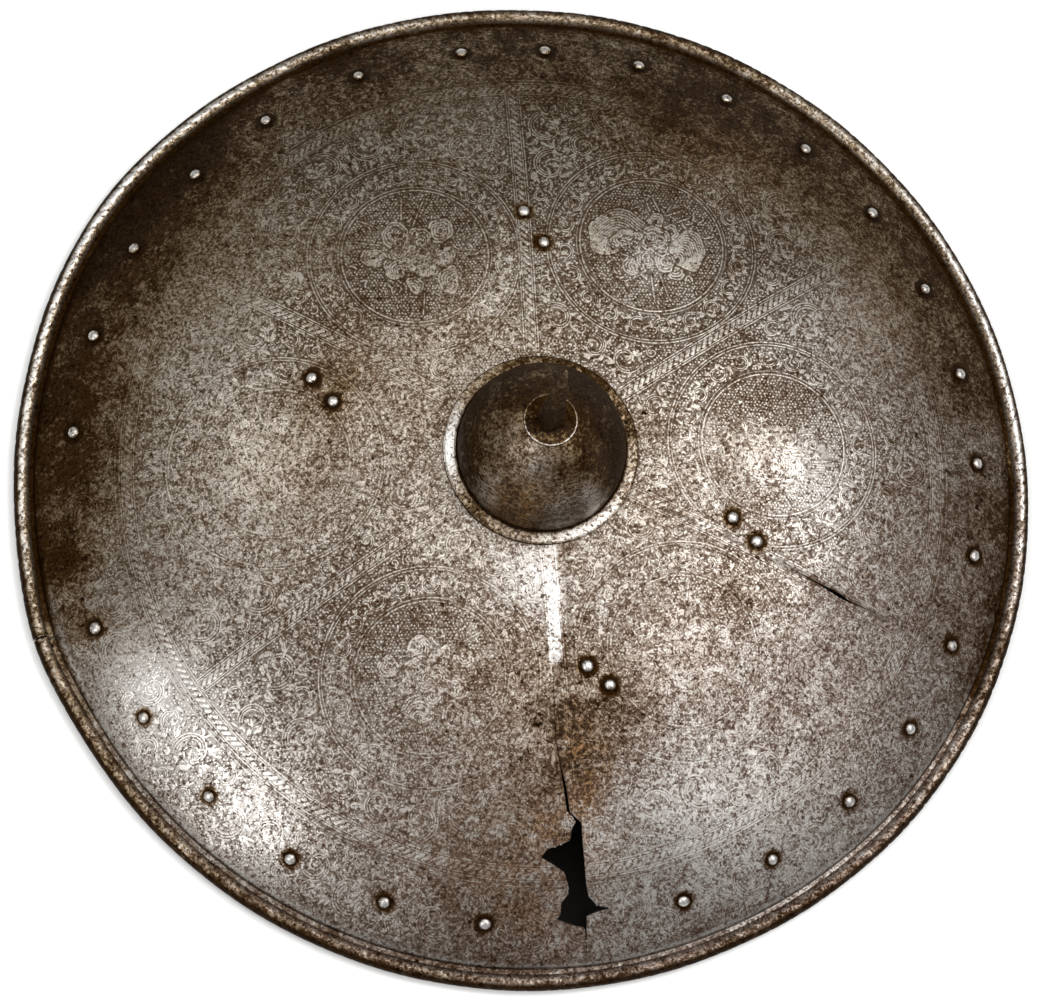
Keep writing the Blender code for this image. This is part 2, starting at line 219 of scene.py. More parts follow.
@dataclass(frozen=True)
class Spot:
    """A soft round place on the shield: its middle, reach and strength."""

    x: float
    y: float
    reach: float
    amount: float


Spots = tuple[Spot, ...]


def spots(*rows: tuple[float, float, float, float]) -> Spots:
    """Return soft places from rows of x, y, reach and amount."""
    return tuple(Spot(*row) for row in rows)


def spread(soft: Spots, x: Array, y: Array) -> Array:
    """Add up soft places at points: each is its amount times exp(-(distance / reach) squared).

    Args:
        soft: The places.
        x: The points' x.
        y: Their y.

    Returns:
        The sums.
    """
    total = np.zeros(np.shape(x))
    for spot in soft:
        total += spot.amount * np.exp(-((x - spot.x) ** 2 + (y - spot.y) ** 2) / spot.reach ** 2)
    return total


@dataclass(frozen=True)
class Seam:
    """A split in the sheet along a bearing: its two edges, in millimetres across, by radius."""

    bearing: float
    left: Rows
    right: Rows

    def edges(self, radius: Array) -> tuple[Array, Array]:
        """Return how far across its bearing the seam's two edges lie at radii."""
        return tuple(np.interp(radius, *np.array(side).T) for side in (self.left, self.right))

    def across(self, points: Array) -> Array:
        """Return how far ground points lie across the seam's bearing."""
        return (points * polar(1.0, self.bearing + 90.0)).sum(axis=-1)

    def along(self, points: Array) -> Array:
        """Return how far out along the seam's bearing ground points lie."""
        return (points * polar(1.0, self.bearing)).sum(axis=-1)

    def is_open(self, points: Array, margin: float) -> Array:
        """Tell which ground points lie in the seam's opening or within a margin of it.

        Args:
            points: The points.
            margin: The margin.

        Returns:
            True for those that do.
        """
        out, across = self.along(points), self.across(points)
        left, right = self.edges(out)
        inside = (across > left - margin) & (across < right + margin)
        return inside & (right - left > 0.02) & (out > 0.0)


TEAR = Seam(
    275.5,
    left=((116, -2.4), (140, -4.0), (161, -4.6), (177, -3.0), (184, -2.2), (199, -1.1), (204, 3.6),
          (208, 0.8), (213.5, -0.3), (215.5, -5.7), (217, -12.8), (221, -16.9), (225, -10.7), (230, -4.4),
          (237, -2.6), (241, -2.8), (245, -6.9), (251.5, -7.7), (253.5, -10.4), (255, -6.1), (257, -1.8),
          (259, 5.5), (280, 5.8)),
    right=((116, -2.4), (140, -3.6), (161, -4.2), (177, -2.4), (184, -0.7), (199, 0.6), (205, 6.6),
           (215, 6.5), (236, 7.1), (243, 8.1), (248.5, 13.0), (249.8, 21.9), (251.2, 12.6), (253, 6.8),
           (259, 6.4), (280, 5.8)),
)
SIDE_CRACK = Seam(
    336.0,
    left=((145, 2.6), (158, 0.1), (176, -0.3), (181, -0.8), (186, -1.1), (192, -0.7), (202, 0.8),
          (213, 2.3)),
    right=((145, 2.6), (158, 0.6), (176, 0.7), (181, 1.4), (186, 1.3), (192, 0.1), (202, 1.2),
           (213, 2.3)),
)
RIM_CRACK = Seam(
    200.0,
    left=((267, 8.5), (278, 0.6), (285, -1.8), (300, -2.2)),
    right=((267, 8.5), (278, 1.4), (285, -0.6), (300, -1.0)),
)
SEAMS = (RIM_CRACK, TEAR, SIDE_CRACK)


@dataclass
class Dish:
    """The hammered dish: one sheet with a sunk border, its tear and its cracks."""

    rim_radius: float = 290.0
    sheet: float = 1.5
    apex: float = field(default_factory=lambda: float(node_box("plate")[1][2]))
    edge_radius: float = 277.5
    edge_height: float = 8.84
    fullness: float = 3.0
    border_height: float = 6.04
    border_wall: float = 1.4
    border_end: float = 282.4
    tang_hole: float = 3.8
    fine_from: float = 196.0
    true_from: float = 262.0
    columns: int = 288
    seam_reach: float = 45.0
    empty_hole: Pair = (256.8, 188.5)
    hole_radius: float = 1.75
    bulges: Rows = (
        (147, 3.8, 17), (200, 2.6, 7), (95, -1.2, 16), (295, -1.4, 20))
    dents: Spots = spots(
        (-247, -62, 24, -1.6), (-238, -118, 26, 1.0), (112, -44, 7, -0.9), (34, -228, 15, 1.2),
        (8, -262, 16, -0.9), (-6, -232, 14, 0.8), (150, -78, 12, 0.7), (174, -66, 12, -0.5),
        (-255, 80, 30, 0.9), (-205, 165, 34, -0.7))
    waves: Rows = (
        (0.26, 0.052, 0.018, 0.4), (0.22, -0.031, 0.047, 2.1), (0.16, 0.071, -0.058, 4.0),
        (0.12, 0.018, 0.093, 1.3), (0.08, -0.118, 0.041, 5.2))

    def __post_init__(self) -> None:
        """Find the boss's middle, round which the tang's hole lies."""
        low, high = node_box("boss")
        self.middle = (low[:2] + high[:2]) / 2.0

    def out_of_round(self, bearing: Array) -> Array:
        """Return how far the rim stands out at bearings: a sum of bell curves.

        Args:
            bearing: The bearings.

        Returns:
            The distances.
        """
        total = np.zeros(np.shape(bearing))
        for centre, amount, reach in self.bulges:
            total += amount * bell(turn_from(bearing, centre), reach)
        return total

    def height(self, x: Array, y: Array) -> Array:
        """Return the outer face's height: apex less a power of the radius, plus dents and hammering.

        Args:
            x: Ground points' x.
            y: Their y.

        Returns:
            The heights.
        """
        radius = np.hypot(x, y)
        bearing = np.degrees(np.arctan2(y, x))
        round_radius = radius - self.out_of_round(bearing) * (radius / self.rim_radius) ** 4
        share = np.minimum(round_radius / self.edge_radius, 1.0)
        height = self.edge_height + (self.apex - self.edge_height) * (1.0 - share ** self.fullness)
        fade = 1.0 - smooth_step(radius, self.true_from, 276.0)
        hammered = smooth_step(radius, 50.0, 75.0)
        rough = spread(self.dents, x, y)
        for amount, along_x, along_y, phase in self.waves:
            rough = rough + amount * np.sin(along_x * x + along_y * y + phase) * hammered
        return height + rough * fade

    def lift(self, points: Array, above: Array | float = 0.0) -> Array:
        """Carry ground points onto the outer face, some way above it along its normal.

        Args:
            points: Ground points in millimetres.
            above: How far each stands above the face.

        Returns:
            The points in space.
        """
        x, y = points[..., 0], points[..., 1]
        normal = self.normal(x, y)
        base = np.stack([x, y, self.height(x, y)], axis=-1)
        return base + normal * np.asarray(above)[..., None]

    def normal(self, x: Array, y: Array) -> Array:
        """Return the outer face's unit normals, from the slopes over a tenth of a millimetre.

        Args:
            x: Ground points' x.
            y: Their y.

        Returns:
            The normals.
        """
        step = 0.1
        slope_x = (self.height(x + step, y) - self.height(x - step, y)) / (2.0 * step)
        slope_y = (self.height(x, y + step) - self.height(x, y - step)) / (2.0 * step)
        normal = np.stack([-slope_x, -slope_y, np.ones_like(slope_x)], axis=-1)
        return normal / np.linalg.norm(normal, axis=-1, keepdims=True)

    def rows(self) -> tuple[Array, Array]:
        """Space the rows from the tang's hole to under the roll.

        Returns:
            Their radii, and their heights in the border or nan within it.
        """
        radii = np.concatenate([
            np.linspace(self.tang_hole, 60.0, 14), np.linspace(60.0, self.fine_from, 41)[1:],
            np.linspace(self.fine_from, self.true_from, 61)[1:],
            np.linspace(self.true_from, self.edge_radius, 8)[1:]])
        wall, edge, high, low = self.border_wall, self.edge_radius, self.edge_height, self.border_height
        border = np.array([
            [edge + 0.1 * wall, high - 0.15], [edge + 0.5 * wall, (high + low) / 2.0],
            [edge + 0.9 * wall, low + 0.2], [edge + 1.3 * wall, low], [self.border_end, low]])
        within = np.stack([radii, np.full(len(radii), np.nan)], axis=-1)
        return tuple(np.concatenate([within, border]).T)

    def sheet_points(self) -> tuple[list[Array], Array, Array]:
        """Work out the sheet's ground points in three patches between the seams.

        Each column is a bearing. Near a seam the columns are pressed aside in proportion, so that the
        patches' first and last columns follow the seam's edges.

        Returns:
            The patches' ground points, the rows' radii and the border's heights.
        """
        radii, heights = self.rows()
        patches = []
        for seam, following in zip(SEAMS, SEAMS[1:] + SEAMS[:1]):
            turn = (following.bearing - seam.bearing) % 360.0
            bearings = seam.bearing + np.linspace(0.0, turn, round(turn * self.columns / 360.0) + 1)
            grid_bearing, grid_radius = np.meshgrid(bearings, radii)
            shift = self.out_of_round(grid_bearing) * (grid_radius / self.rim_radius) ** 4
            points = polar(grid_radius + shift, grid_bearing)
            points += self.middle * (1.0 - smooth_step(grid_radius, self.tang_hole, 50.0))[..., None]
            for edge_of, side in ((seam, 1.0), (following, -1.0)):
                across = edge_of.across(points) * side
                gap = edge_of.edges(grid_radius)[1 if side > 0.0 else 0] * side
                near = bounded(1.0 - across / self.seam_reach)
                near = np.where(edge_of.along(points) > 100.0, near, 0.0)
                points += (gap * near * side)[..., None] * polar(1.0, edge_of.bearing + 90.0)
            patches.append(points)
        return patches, radii, heights

    def punch(self, patch: Array) -> Array:
        """Open the empty rivet hole, if a patch holds it.

        The twelve points of the grid round its middle move onto a circle in place.

        Args:
            patch: The patch's ground points.

        Returns:
            Which of its quads stay.
        """
        kept = np.ones((len(patch) - 1, patch.shape[1] - 1), dtype=bool)
        middle = polar(*self.empty_hole)
        away = np.linalg.norm(patch - middle, axis=-1)
        row, column = np.unravel_index(np.argmin(away), away.shape)
        if away[row, column] < 4.0:
            kept[row - 2:row + 2, column - 1:column + 1] = False
            up, left = np.meshgrid(np.linspace(-1.0, 1.0, 5), np.linspace(-1.0, 1.0, 3), indexing="ij")
            circle = middle + polar(self.hole_radius, self.empty_hole[1] + np.degrees(np.arctan2(left, up)))
            edge = np.maximum(np.abs(up), np.abs(left))[..., None] > 0.9
            block = patch[row - 2:row + 3, column - 1:column + 2]
            block[...] = np.where(edge, circle, block)
        return kept.ravel()

    def build(self, finishes: Sequence[Material], places: "Places") -> None:
        """Make the sheet with its walls.

        Args:
            finishes: The outer face's, the inner face's and the broken edges' materials.
            places: The worn, dirty and bright places.
        """
        patches, radii, heights = self.sheet_points()
        index, outer, inner, quads, start = [], [], [], [], 0
        for patch in patches:
            rows, columns = patch.shape[:2]
            kept = self.punch(patch)
            within = np.isnan(heights)[:, None, None]
            border = at_heights(patch, heights)
            index.append(start + np.arange(rows * columns).reshape(rows, columns))
            outer.append(np.where(within, self.lift(patch), border).reshape(-1, 3))
            border = border - (0.0, 0.0, self.sheet)
            inner.append(np.where(within, self.lift(patch, -self.sheet), border).reshape(-1, 3))
            quads.append(start + grid_quads(rows, columns)[kept])
            start += rows * columns
        outer, inner, quads = np.concatenate(outer), np.concatenate(inner), np.concatenate(quads)
        same = np.arange(start)
        for seam, before, after in zip(SEAMS, index[-1:] + index[:-1], index):
            left, right = seam.edges(radii)
            closed = (right - left < 0.02)
            same[after[closed, 0]] = before[closed, -1]
        kept, quads = np.unique(same[quads], return_inverse=True)
        points, quads, kinds = thicken(outer[kept], inner[kept], quads.reshape(-1, 4))
        add_piece("dish", (points, quads, NO_FACES), finishes, places.fields(points), kinds,
                  "plate_steel", ("plate",))


@dataclass
class RolledRim:
    """The rim: the sheet's edge rolled outwards and under, its outer side nicked like a rope."""

    dish: Dish
    radius: float = 4.6
    foot: float = 1.1
    start: float = 160.0
    end: float = -150.0
    section_rows: int = 15
    strands: int = 272
    per_strand: int = 6
    nick_depth: float = 0.55
    lean: float = 2.6
    # Each bearing, amount and reach where the painted highlight on the roll's top is strongest
    shiny: Rows = ((152, 0.6, 42), (18, 0.5, 30))

    def build(self, finishes: Sequence[Material]) -> None:
        """Carry the roll's section round the rim from one side of the rim crack to the other.

        The section is a circle from above the border over the outside to below it. A nick's depth falls
        off as a narrow bell on each strand's edge, which leans as the section turns.

        Args:
            finishes: The outer face's, the inner face's and the broken edges' materials.
        """
        count = self.strands * self.per_strand
        height = math.sqrt(self.radius ** 2 - self.foot ** 2)
        centre = self.dish.rim_radius - self.radius
        turn = np.linspace(self.start, self.end, self.section_rows)
        share = np.linspace(0.0, 1.0, count + 1)
        angle, along = np.meshgrid(turn, share, indexing="ij")
        left, right = RIM_CRACK.edges(np.full(1, 287.0))
        first = RIM_CRACK.bearing + math.degrees(right[0] / 287.0)
        last = RIM_CRACK.bearing + 360.0 + math.degrees(left[0] / 287.0)
        bearing = first + (last - first) * along
        drift = 0.35 * np.sin(np.radians(bearing * 7.0)) + 0.25 * np.sin(np.radians(bearing * 17.0 + 50.0))
        phase = self.strands * along + self.lean * np.radians(angle) / math.pi + drift
        away = np.abs(phase - np.round(phase))
        shown = smooth_step(angle, -40.0, -5.0) * (1.0 - smooth_step(angle, 110.0, 150.0))
        uneven = bounded(0.55 + 0.6 * np.sin(np.round(phase) * 2.399))
        radius = self.radius - self.nick_depth * bell(away, 0.13) * shown * uneven
        radius += 0.12 * np.sin(np.radians(bearing * 23.0)) * shown
        faces = []
        for reach in (radius, np.minimum(radius, self.radius) - self.dish.sheet):
            out = centre + reach * np.cos(np.radians(angle)) + self.dish.out_of_round(bearing)
            up = np.maximum(height + reach * np.sin(np.radians(angle)), 0.0)
            faces.append(np.concatenate([polar(out, bearing), up[..., None]], axis=-1).reshape(-1, 3))
        points, quads, kinds = thicken(*faces, grid_quads(*angle.shape))
        # Painted light on the roll: a painted highlight along its top with real polish, strongest at the
        # bearings above; painted shade on its outer side, lighter on its inner side; grimy patches and some
        # rust
        inner_side = smooth_step(angle, 88.0, 112.0)
        shine = 0.34
        for middle, amount, reach in self.shiny:
            shine = shine + amount * bell(turn_from(bearing, middle), reach)
        lit = bounded(1.6 * bell(angle - 82.5, 16.0)) * shine
        patches = 0.5 + 0.5 * np.sin(np.radians(bearing * 5.0 + 40.0)) * np.sin(np.radians(bearing * 13.0))
        grime = bounded(0.92 - 0.92 * lit - 0.55 * inner_side + 0.15 * (1.0 - patches))
        nick = bounded(1.6 * bell(away, 0.12) * shown * uneven)
        gloss = lit * (0.65 + 0.25 * patches) + 0.2 * inner_side
        rust = 0.25 * patches * (1.0 - lit)
        named = {"grime": grime, "gloss": gloss, "rust": rust, "nick": nick}
        named = {key: np.tile(value.ravel(), 2) for key, value in named.items()}
        add_piece("rolled_rim", (points, quads, NO_FACES), finishes, plain_fields(len(points), **named),
                  kinds, "plate_steel", ("plate",))


@dataclass
class Places:
    """Where the shield is dirty and in painted shade, burnished and under painted highlights, rusty or still
    crisp, as seen on the worn surface.
    """

    crisp: Spots = spots(
        (64, 123, 55, 0.85), (137, 33, 30, 0.7), (150, -22, 40, 0.3), (-180, -158, 48, 0.25),
        (-95, -85, 34, 0.38), (-60, -120, 36, 0.25), (0, 150, 36, 0.3), (-62, 130, 34, 0.5),
        (130, 95, 36, 0.45), (-150, 10, 36, 0.15), (10, 205, 34, 0.45), (100, 70, 40, 0.4),
        (-130, 70, 26, 0.45), (-115, 172, 44, 0.35), (95, -100, 44, 0.12), (-150, -120, 30, 0.22),
        (30, 60, 30, 0.2), (205, 20, 25, 0.2), (133, 8, 24, -0.75), (81, -110, 24, -0.4),
        (-58, -127, 22, -0.3), (-144, -8, 30, -0.4), (-68, 113, 18, -0.4), (66, 124, 9, -0.45),
        (150, -120, 60, -0.18), (-90, 93, 15, 0.85), (-72, 88, 13, 0.85), (0, -170, 50, -0.2),
        (-240, 130, 70, -0.25), (-170, 90, 30, -0.15), (200, 80, 40, -0.15))
    # Grimy places with painted shade, darkest along the upper and side edges
    grime: Spots = spots(
        (-252, 134, 54, 1.3), (-202, 202, 52, 1.3), (-262, 40, 42, 1.0), (-104, 250, 50, 0.9),
        (0, 262, 52, 0.85), (100, 240, 52, 0.82), (175, 195, 56, 0.82), (235, 130, 50, 0.75),
        (262, 60, 42, 0.7), (272, -20, 36, 0.7), (262, -90, 40, 0.65), (-265, -20, 36, 0.75),
        (-262, -58, 17, 0.9), (-248, -92, 12, 0.6), (60, 200, 40, 0.3), (-20, -258, 50, 0.45),
        (-120, -250, 32, 0.2), (-5, -190, 30, 0.25), (-45, -170, 36, 0.15), (-30, 70, 30, 0.15),
        (15, 75, 26, 0.2), (-60, 25, 28, 0.25), (-120, 110, 40, 0.25), (60, 15, 18, 0.3),
        (215, -165, 30, 0.1), (100, -265, 40, 0.3), (-112, 45, 24, 0.35), (20, -135, 32, 0.3),
        (-34, -125, 30, 0.2), (130, 130, 26, 0.1), (-150, -80, 30, 0.05), (-80, -60, 20, 0.1),
        (110, -75, 16, 0.3), (190, -100, 30, 0.1), (0, -115, 34, 0.15), (-120, 15, 26, 0.25),
        (-122, -190, 26, 0.22), (42, -150, 34, 0.32), (62, -36, 20, 0.28), (110, -140, 55, 0.19),
        (165, -195, 46, 0.08), (95, -235, 36, 0.12), (24, -170, 20, 0.35), (195, -10, 24, 0.2))
    # Polished places with painted highlights, which mix the steel towards bright steel
    gloss: Spots = spots(
        (-190, -152, 38, 0.5), (-215, -122, 24, 0.45), (-155, -190, 28, 0.25), (156, -10, 30, 0.34),
        (150, 75, 28, 0.15), (5, -66, 12, 0.3), (6, -88, 12, 0.3), (88, -200, 55, 0.35),
        (168, -200, 44, 0.15), (88, -238, 34, 0.12), (130, -225, 34, 0.06), (68, 120, 14, 0.25),
        (55, 95, 18, 0.15), (-168, 40, 44, 0.1), (-168, -28, 36, 0.08), (-6, -72, 14, 0.32),
        (-142, -205, 30, 0.3), (-8, 95, 30, 0.15), (25, -240, 24, 0.25))
    rust: Spots = spots(
        (21, -148, 9, 1.1), (25, -163, 13, 1.5), (27, -178, 13, 1.5), (27, -194, 9, 1.2),
        (8, -203, 13, 1.1), (-10, -232, 34, 0.7), (30, -215, 16, 0.6), (-110, 38, 22, 0.5),
        (15, -58, 12, 0.6), (100, 180, 34, 0.5), (190, 90, 30, 0.3), (120, 215, 30, 0.4),
        (-60, -220, 40, 0.3), (20, -256, 26, 0.5), (225, -40, 30, 0.25), (-228, -95, 22, 0.35))
    least_crisp: float = 0.58
    border_wall: Pair = (277.2, 278.6)
    border_corner: float = 276.8

    def fields(self, points: Array) -> dict[str, Array]:
        """Return the four values at points, each from 0 to about 1.

        Args:
            points: The points.

        Returns:
            The values by name.
        """
        x, y = points[..., 0], points[..., 1]
        radius = np.hypot(x, y)
        # Painted shade in the border's recess, deeper towards the top; a painted highlight along the
        # border's corner towards the bottom
        recess = smooth_step(radius, *self.border_wall) * (0.5 - 0.4 * smooth_step(-y, 60.0, 200.0))
        corner = bell(radius - self.border_corner, 0.9) * smooth_step(-y, 40.0, 140.0)
        return {
            "crisp": 0.05 + 0.95 * smooth_step(self.least_crisp + spread(self.crisp, x, y), 0.05, 1.05),
            "grime": bounded(0.8 * spread(self.grime, x, y) + recess - 0.5 * corner),
            "gloss": bounded(spread(self.gloss, x, y) + 0.5 * corner),
            "rust": bounded(0.6 * spread(self.rust, x, y)),
        }


class Graph:
    """Adds nodes to a material's or a group's tree and joins them."""

    def __init__(self, tree: NodeTree) -> None:
        """Work in a node tree."""
        self.tree = tree

    def add(self, kind: str, feeds: dict[str | int, object], **options: object) -> bpy.types.Node:
        """Add a node.

        Args:
            kind: The node's type.
            feeds: For some of its inputs, a socket to link or a value to set.
            options: Settings of the node itself.

        Returns:
            The node.
        """
        node = self.tree.nodes.new(kind)
        for key, value in options.items():
            setattr(node, key, value)
        self.fill(node.inputs, feeds)
        return node

    def feed(self, socket: Socket, value: object) -> None:
        """Link an input from another socket, or set its value.

        Args:
            socket: The input.
            value: A socket, a number, a vector or a colour.
        """
        if isinstance(value, Socket):
            self.tree.links.new(value, socket)
        elif socket.type == "RGBA":
            socket.default_value = (*value, 1.0)
        else:
            socket.default_value = value

    def fill(self, inputs: object, feeds: dict[str | int, object]) -> None:
        """Feed some of a node's inputs, by name or number."""
        for key, value in feeds.items():
            self.feed(inputs[key], value)

    def effect(self, group: NodeTree, **feeds: object) -> object:
        """Place a shared effect and return its outputs."""
        return self.add("ShaderNodeGroup", feeds, node_tree=group).outputs

    def vector(self, operation: str, *values: object) -> object:
        """Return the outputs of a sum on vectors."""
        return self.add("ShaderNodeVectorMath", dict(enumerate(values)), operation=operation).outputs

    def math(self, operation: str, *values: object, clamp: bool = False) -> Socket:
        """Return the result of a sum on numbers or sockets."""
        return self.add("ShaderNodeMath", dict(enumerate(values)), operation=operation,
                        use_clamp=clamp).outputs[0]

    def weigh(self, start: object, *terms: tuple[object, float]) -> Socket:
        """Return a start value plus each term's socket times its weight.

        Args:
            start: The start value.
            terms: Sockets, each with its weight.

        Returns:
            The sum.
        """
        total = start
        for socket, weight in terms:
            total = self.math("MULTIPLY_ADD", socket, weight, total)
        return total

    def mix(self, share: object, first: object, second: object) -> Socket:
        """Return a colour between two, by a share."""
        return self.add("ShaderNodeMix", {0: share, 6: first, 7: second}, data_type="RGBA").outputs[2]

    def tint(self, colour: object, other: object, share: object, amount: float) -> Socket:
        """Return a colour mixed with another, by a share times an amount, at most 1."""
        return self.mix(self.math("MULTIPLY", share, amount, clamp=True), colour, other)

    def past(self, value: object, limit: object, low: float, high: float) -> Socket:
        """Return a smooth step from 0 at low to 1 at high, both counted from a limit."""
        return self.step(value, self.math("ADD", limit, low), self.math("ADD", limit, high))

    def step(self, value: object, low: object, high: object) -> Socket:
        """Return a smooth step from 0 at low to 1 at high."""
        return self.add("ShaderNodeMapRange", {0: value, 1: low, 2: high},
                        interpolation_type="SMOOTHSTEP").outputs[0]

    def noise(self, place: object, scale: float, detail: float = 3.0, roughness: float = 0.6,
              distortion: float = 0.0) -> Socket:
        """Return cloudy noise from 0 to 1; the scale is in clouds to the metre."""
        return self.add("ShaderNodeTexNoise", {"Vector": place, "Scale": scale, "Detail": detail,
                        "Roughness": roughness, "Distortion": distortion}).outputs[0]

    def value(self, name: str) -> Socket:
        """Return a mesh's named value."""
        return self.add("ShaderNodeAttribute", {}, attribute_name=name).outputs["Fac"]

    def place(self) -> Socket:
        """Return Object coordinates."""
        return self.add("ShaderNodeTexCoord", {}).outputs["Object"]


def new_group(name: str, inputs: dict[str, str],
              outputs: dict[str, str]) -> tuple[NodeTree, Graph, object, object]:
    """Start a shader node group with named sockets.

    Args:
        name: The group's name.
        inputs: Each input's name and kind.
        outputs: Each output's name and kind.

    Returns:
        The group, its graph, its input sockets, and its output node's inputs.
    """
    group = bpy.data.node_groups.new(name, "ShaderNodeTree")
    for direction, sockets in (("INPUT", inputs), ("OUTPUT", outputs)):
        for key, kind in sockets.items():
            group.interface.new_socket(key, in_out=direction, socket_type=f"NodeSocket{kind}")
    graph = Graph(group)
    return group, graph, graph.add("NodeGroupInput", {}).outputs, graph.add("NodeGroupOutput", {}).inputs


LIGHT_STEEL = srgb(192, 187, 181)
DULL_STEEL = srgb(134, 126, 117)
WARM_STEEL = srgb(186, 171, 144)
GOLDEN_FILM = srgb(108, 86, 54)
VIOLET_FILM = srgb(104, 84, 73)
GOLDEN_PATINA = srgb(73, 56, 35)
VIOLET_PATINA = srgb(84, 64, 54)
DARK_PATINA = srgb(52, 35, 17)
# Black of deep pits, also the colour that paints the deepest shade
BLACK_PIT = srgb(26, 17, 8)
BROWN_GROUND = srgb(65, 51, 38)
RUST = srgb(146, 104, 50)
# Polished steel, also the colour that paints highlights
BRIGHT_STEEL = srgb(214, 213, 211)

# Clouds to the metre, detail, roughness and distortion of the steel's noises, from fine to broad
CLOUDS = {
    "grain": (1100.0, 2.0, 0.7, 0.0),
    "fine": (560.0, 1.0, 0.5, 0.9),
    "flake": (285.0, 3.0, 0.62, 0.9),
    "middling": (130.0, 3.0, 0.6, 0.0),
    "blotch": (66.0, 4.0, 0.62, 0.5),
    "broad": (15.0, 3.0, 0.6, 0.4),
}
PIT_LIMIT = 0.78
PIT_SHIFT = 0.14
PIT_EDGE = (-0.07, 0.07)
DEEP_EDGE = (0.12, 0.28)


def old_steel_group() -> NodeTree:
    """Build the effect that all the shield's steel shares: pits, patina, grimy, rusty and worn places, and
    painted light.

    Fine, middling and broad noise are added; where the sum passes a threshold that the input for grimy,
    shaded places lowers and the input for polished, highlighted places raises, the steel is pitted and
    brown. The latter also mixes in bright steel, a painted highlight on real polish, and the darkest places
    go part way to black, painted shade on grimy steel. A film of patina lies over it in flakes, thicker
    where the steel is grimier and more shaded, golden towards the upper left and violet towards the lower
    right. The height leaves out what those two
    inputs get from rivets and scars: it goes by Polish, which is the second less the first, and so costs
    little.

    Returns:
        The node group.
    """
    group, graph, given, result = new_group(
        "old_steel",
        {"Place": "Vector", "Grime": "Float", "Gloss": "Float", "Rust": "Float", "Ground": "Float",
         "Polish": "Float"},
        {"Color": "Color", "Roughness": "Float", "Metallic": "Float", "Height": "Float"})
    place, grime, gloss = given["Place"], given["Grime"], given["Gloss"]
    grain, fine, flake, middling, blotch, broad = (graph.noise(place, *cloud) for cloud in CLOUDS.values())
    worn = graph.weigh(0.0, (fine, 1.0), (middling, 0.22), (broad, 0.14), (blotch, 0.12))
    limit = graph.weigh(PIT_LIMIT, (grime, -PIT_SHIFT), (gloss, PIT_SHIFT))
    pitted, deep = (graph.past(worn, limit, *edge) for edge in (PIT_EDGE, DEEP_EDGE))
    relief = graph.weigh(PIT_LIMIT, (given["Polish"], PIT_SHIFT))
    pits, hollows = (graph.past(worn, relief, *edge) for edge in (PIT_EDGE, DEEP_EDGE))
    film = graph.weigh(-1.4, (grime, 0.35), (flake, 1.3), (fine, 0.4), (blotch, 0.45), (middling, 0.55),
                       (broad, 0.4), (gloss, -0.5), (graph.math("MULTIPLY", blotch, grime), 1.2))
    thin = graph.step(film, -0.12, 0.5)
    thick = graph.step(film, 0.4, 0.86)
    fading = graph.weigh(-0.55, (flake, 1.3), (blotch, 0.7), (fine, 1.0), (gloss, -0.4))
    ground = graph.math("MAXIMUM", fading, given["Ground"])
    ground = graph.math("MULTIPLY", given["Ground"], ground, clamp=True)
    speck = graph.weigh(0.0, (middling, 0.6), (fine, 0.4))
    rusty = graph.math("MULTIPLY", given["Rust"], graph.step(speck, 0.37, 0.53), clamp=True)
    east, north, _ = graph.add("ShaderNodeSeparateXYZ", {0: place}).outputs
    golden = graph.weigh(0.5, (north, 2.7), (east, -1.4), (grime, 0.9))
    golden = graph.math("MULTIPLY", golden, 1.0, clamp=True)
    patina = graph.mix(golden, VIOLET_PATINA, GOLDEN_PATINA)
    warmth = graph.math("MULTIPLY", golden, graph.weigh(0.6, (grime, 0.4)), clamp=True)
    colour = graph.mix(warmth, LIGHT_STEEL, WARM_STEEL)
    colour = graph.mix(graph.step(grain, 0.35, 0.65), colour, DULL_STEEL)
    # Painted highlight on real polish: towards bright steel where the steel is polished and highlighted
    colour = graph.tint(colour, BRIGHT_STEEL, gloss, 0.8)
    cover = graph.math("MULTIPLY", thin, graph.weigh(0.64, (grime, 0.26)))
    colour = graph.mix(cover, colour, graph.mix(golden, VIOLET_FILM, GOLDEN_FILM))
    colour = graph.tint(colour, graph.tint(RUST, patina, fine, 0.7), rusty, 0.92)
    colour = graph.tint(colour, graph.mix(grime, patina, DARK_PATINA), pitted, 0.78)
    colour = graph.tint(colour, DARK_PATINA, thick, 0.88)
    colour = graph.mix(ground, colour, graph.mix(thick, BROWN_GROUND, DARK_PATINA))
    colour = graph.mix(deep, colour, BLACK_PIT)
    # Painted shade on grimy steel: part way to black where the input for grimy, shaded places is highest
    colour = graph.tint(colour, BLACK_PIT, graph.step(grime, 0.72, 1.0), 0.45)
    dark = graph.math("MAXIMUM", pitted, ground)
    rough = graph.weigh(0.38, (dark, 0.14), (thick, 0.12), (gloss, -0.08), (rusty, 0.15), (fine, 0.08))
    height = graph.weigh(0.0, (pits, -0.6), (hollows, -0.6), (fine, 0.5), (flake, 0.5), (middling, 0.2))
    graph.fill(result, {"Color": colour, "Roughness": rough, "Metallic": graph.weigh(1.0, (rusty, -0.3)),
                        "Height": height})
    return group


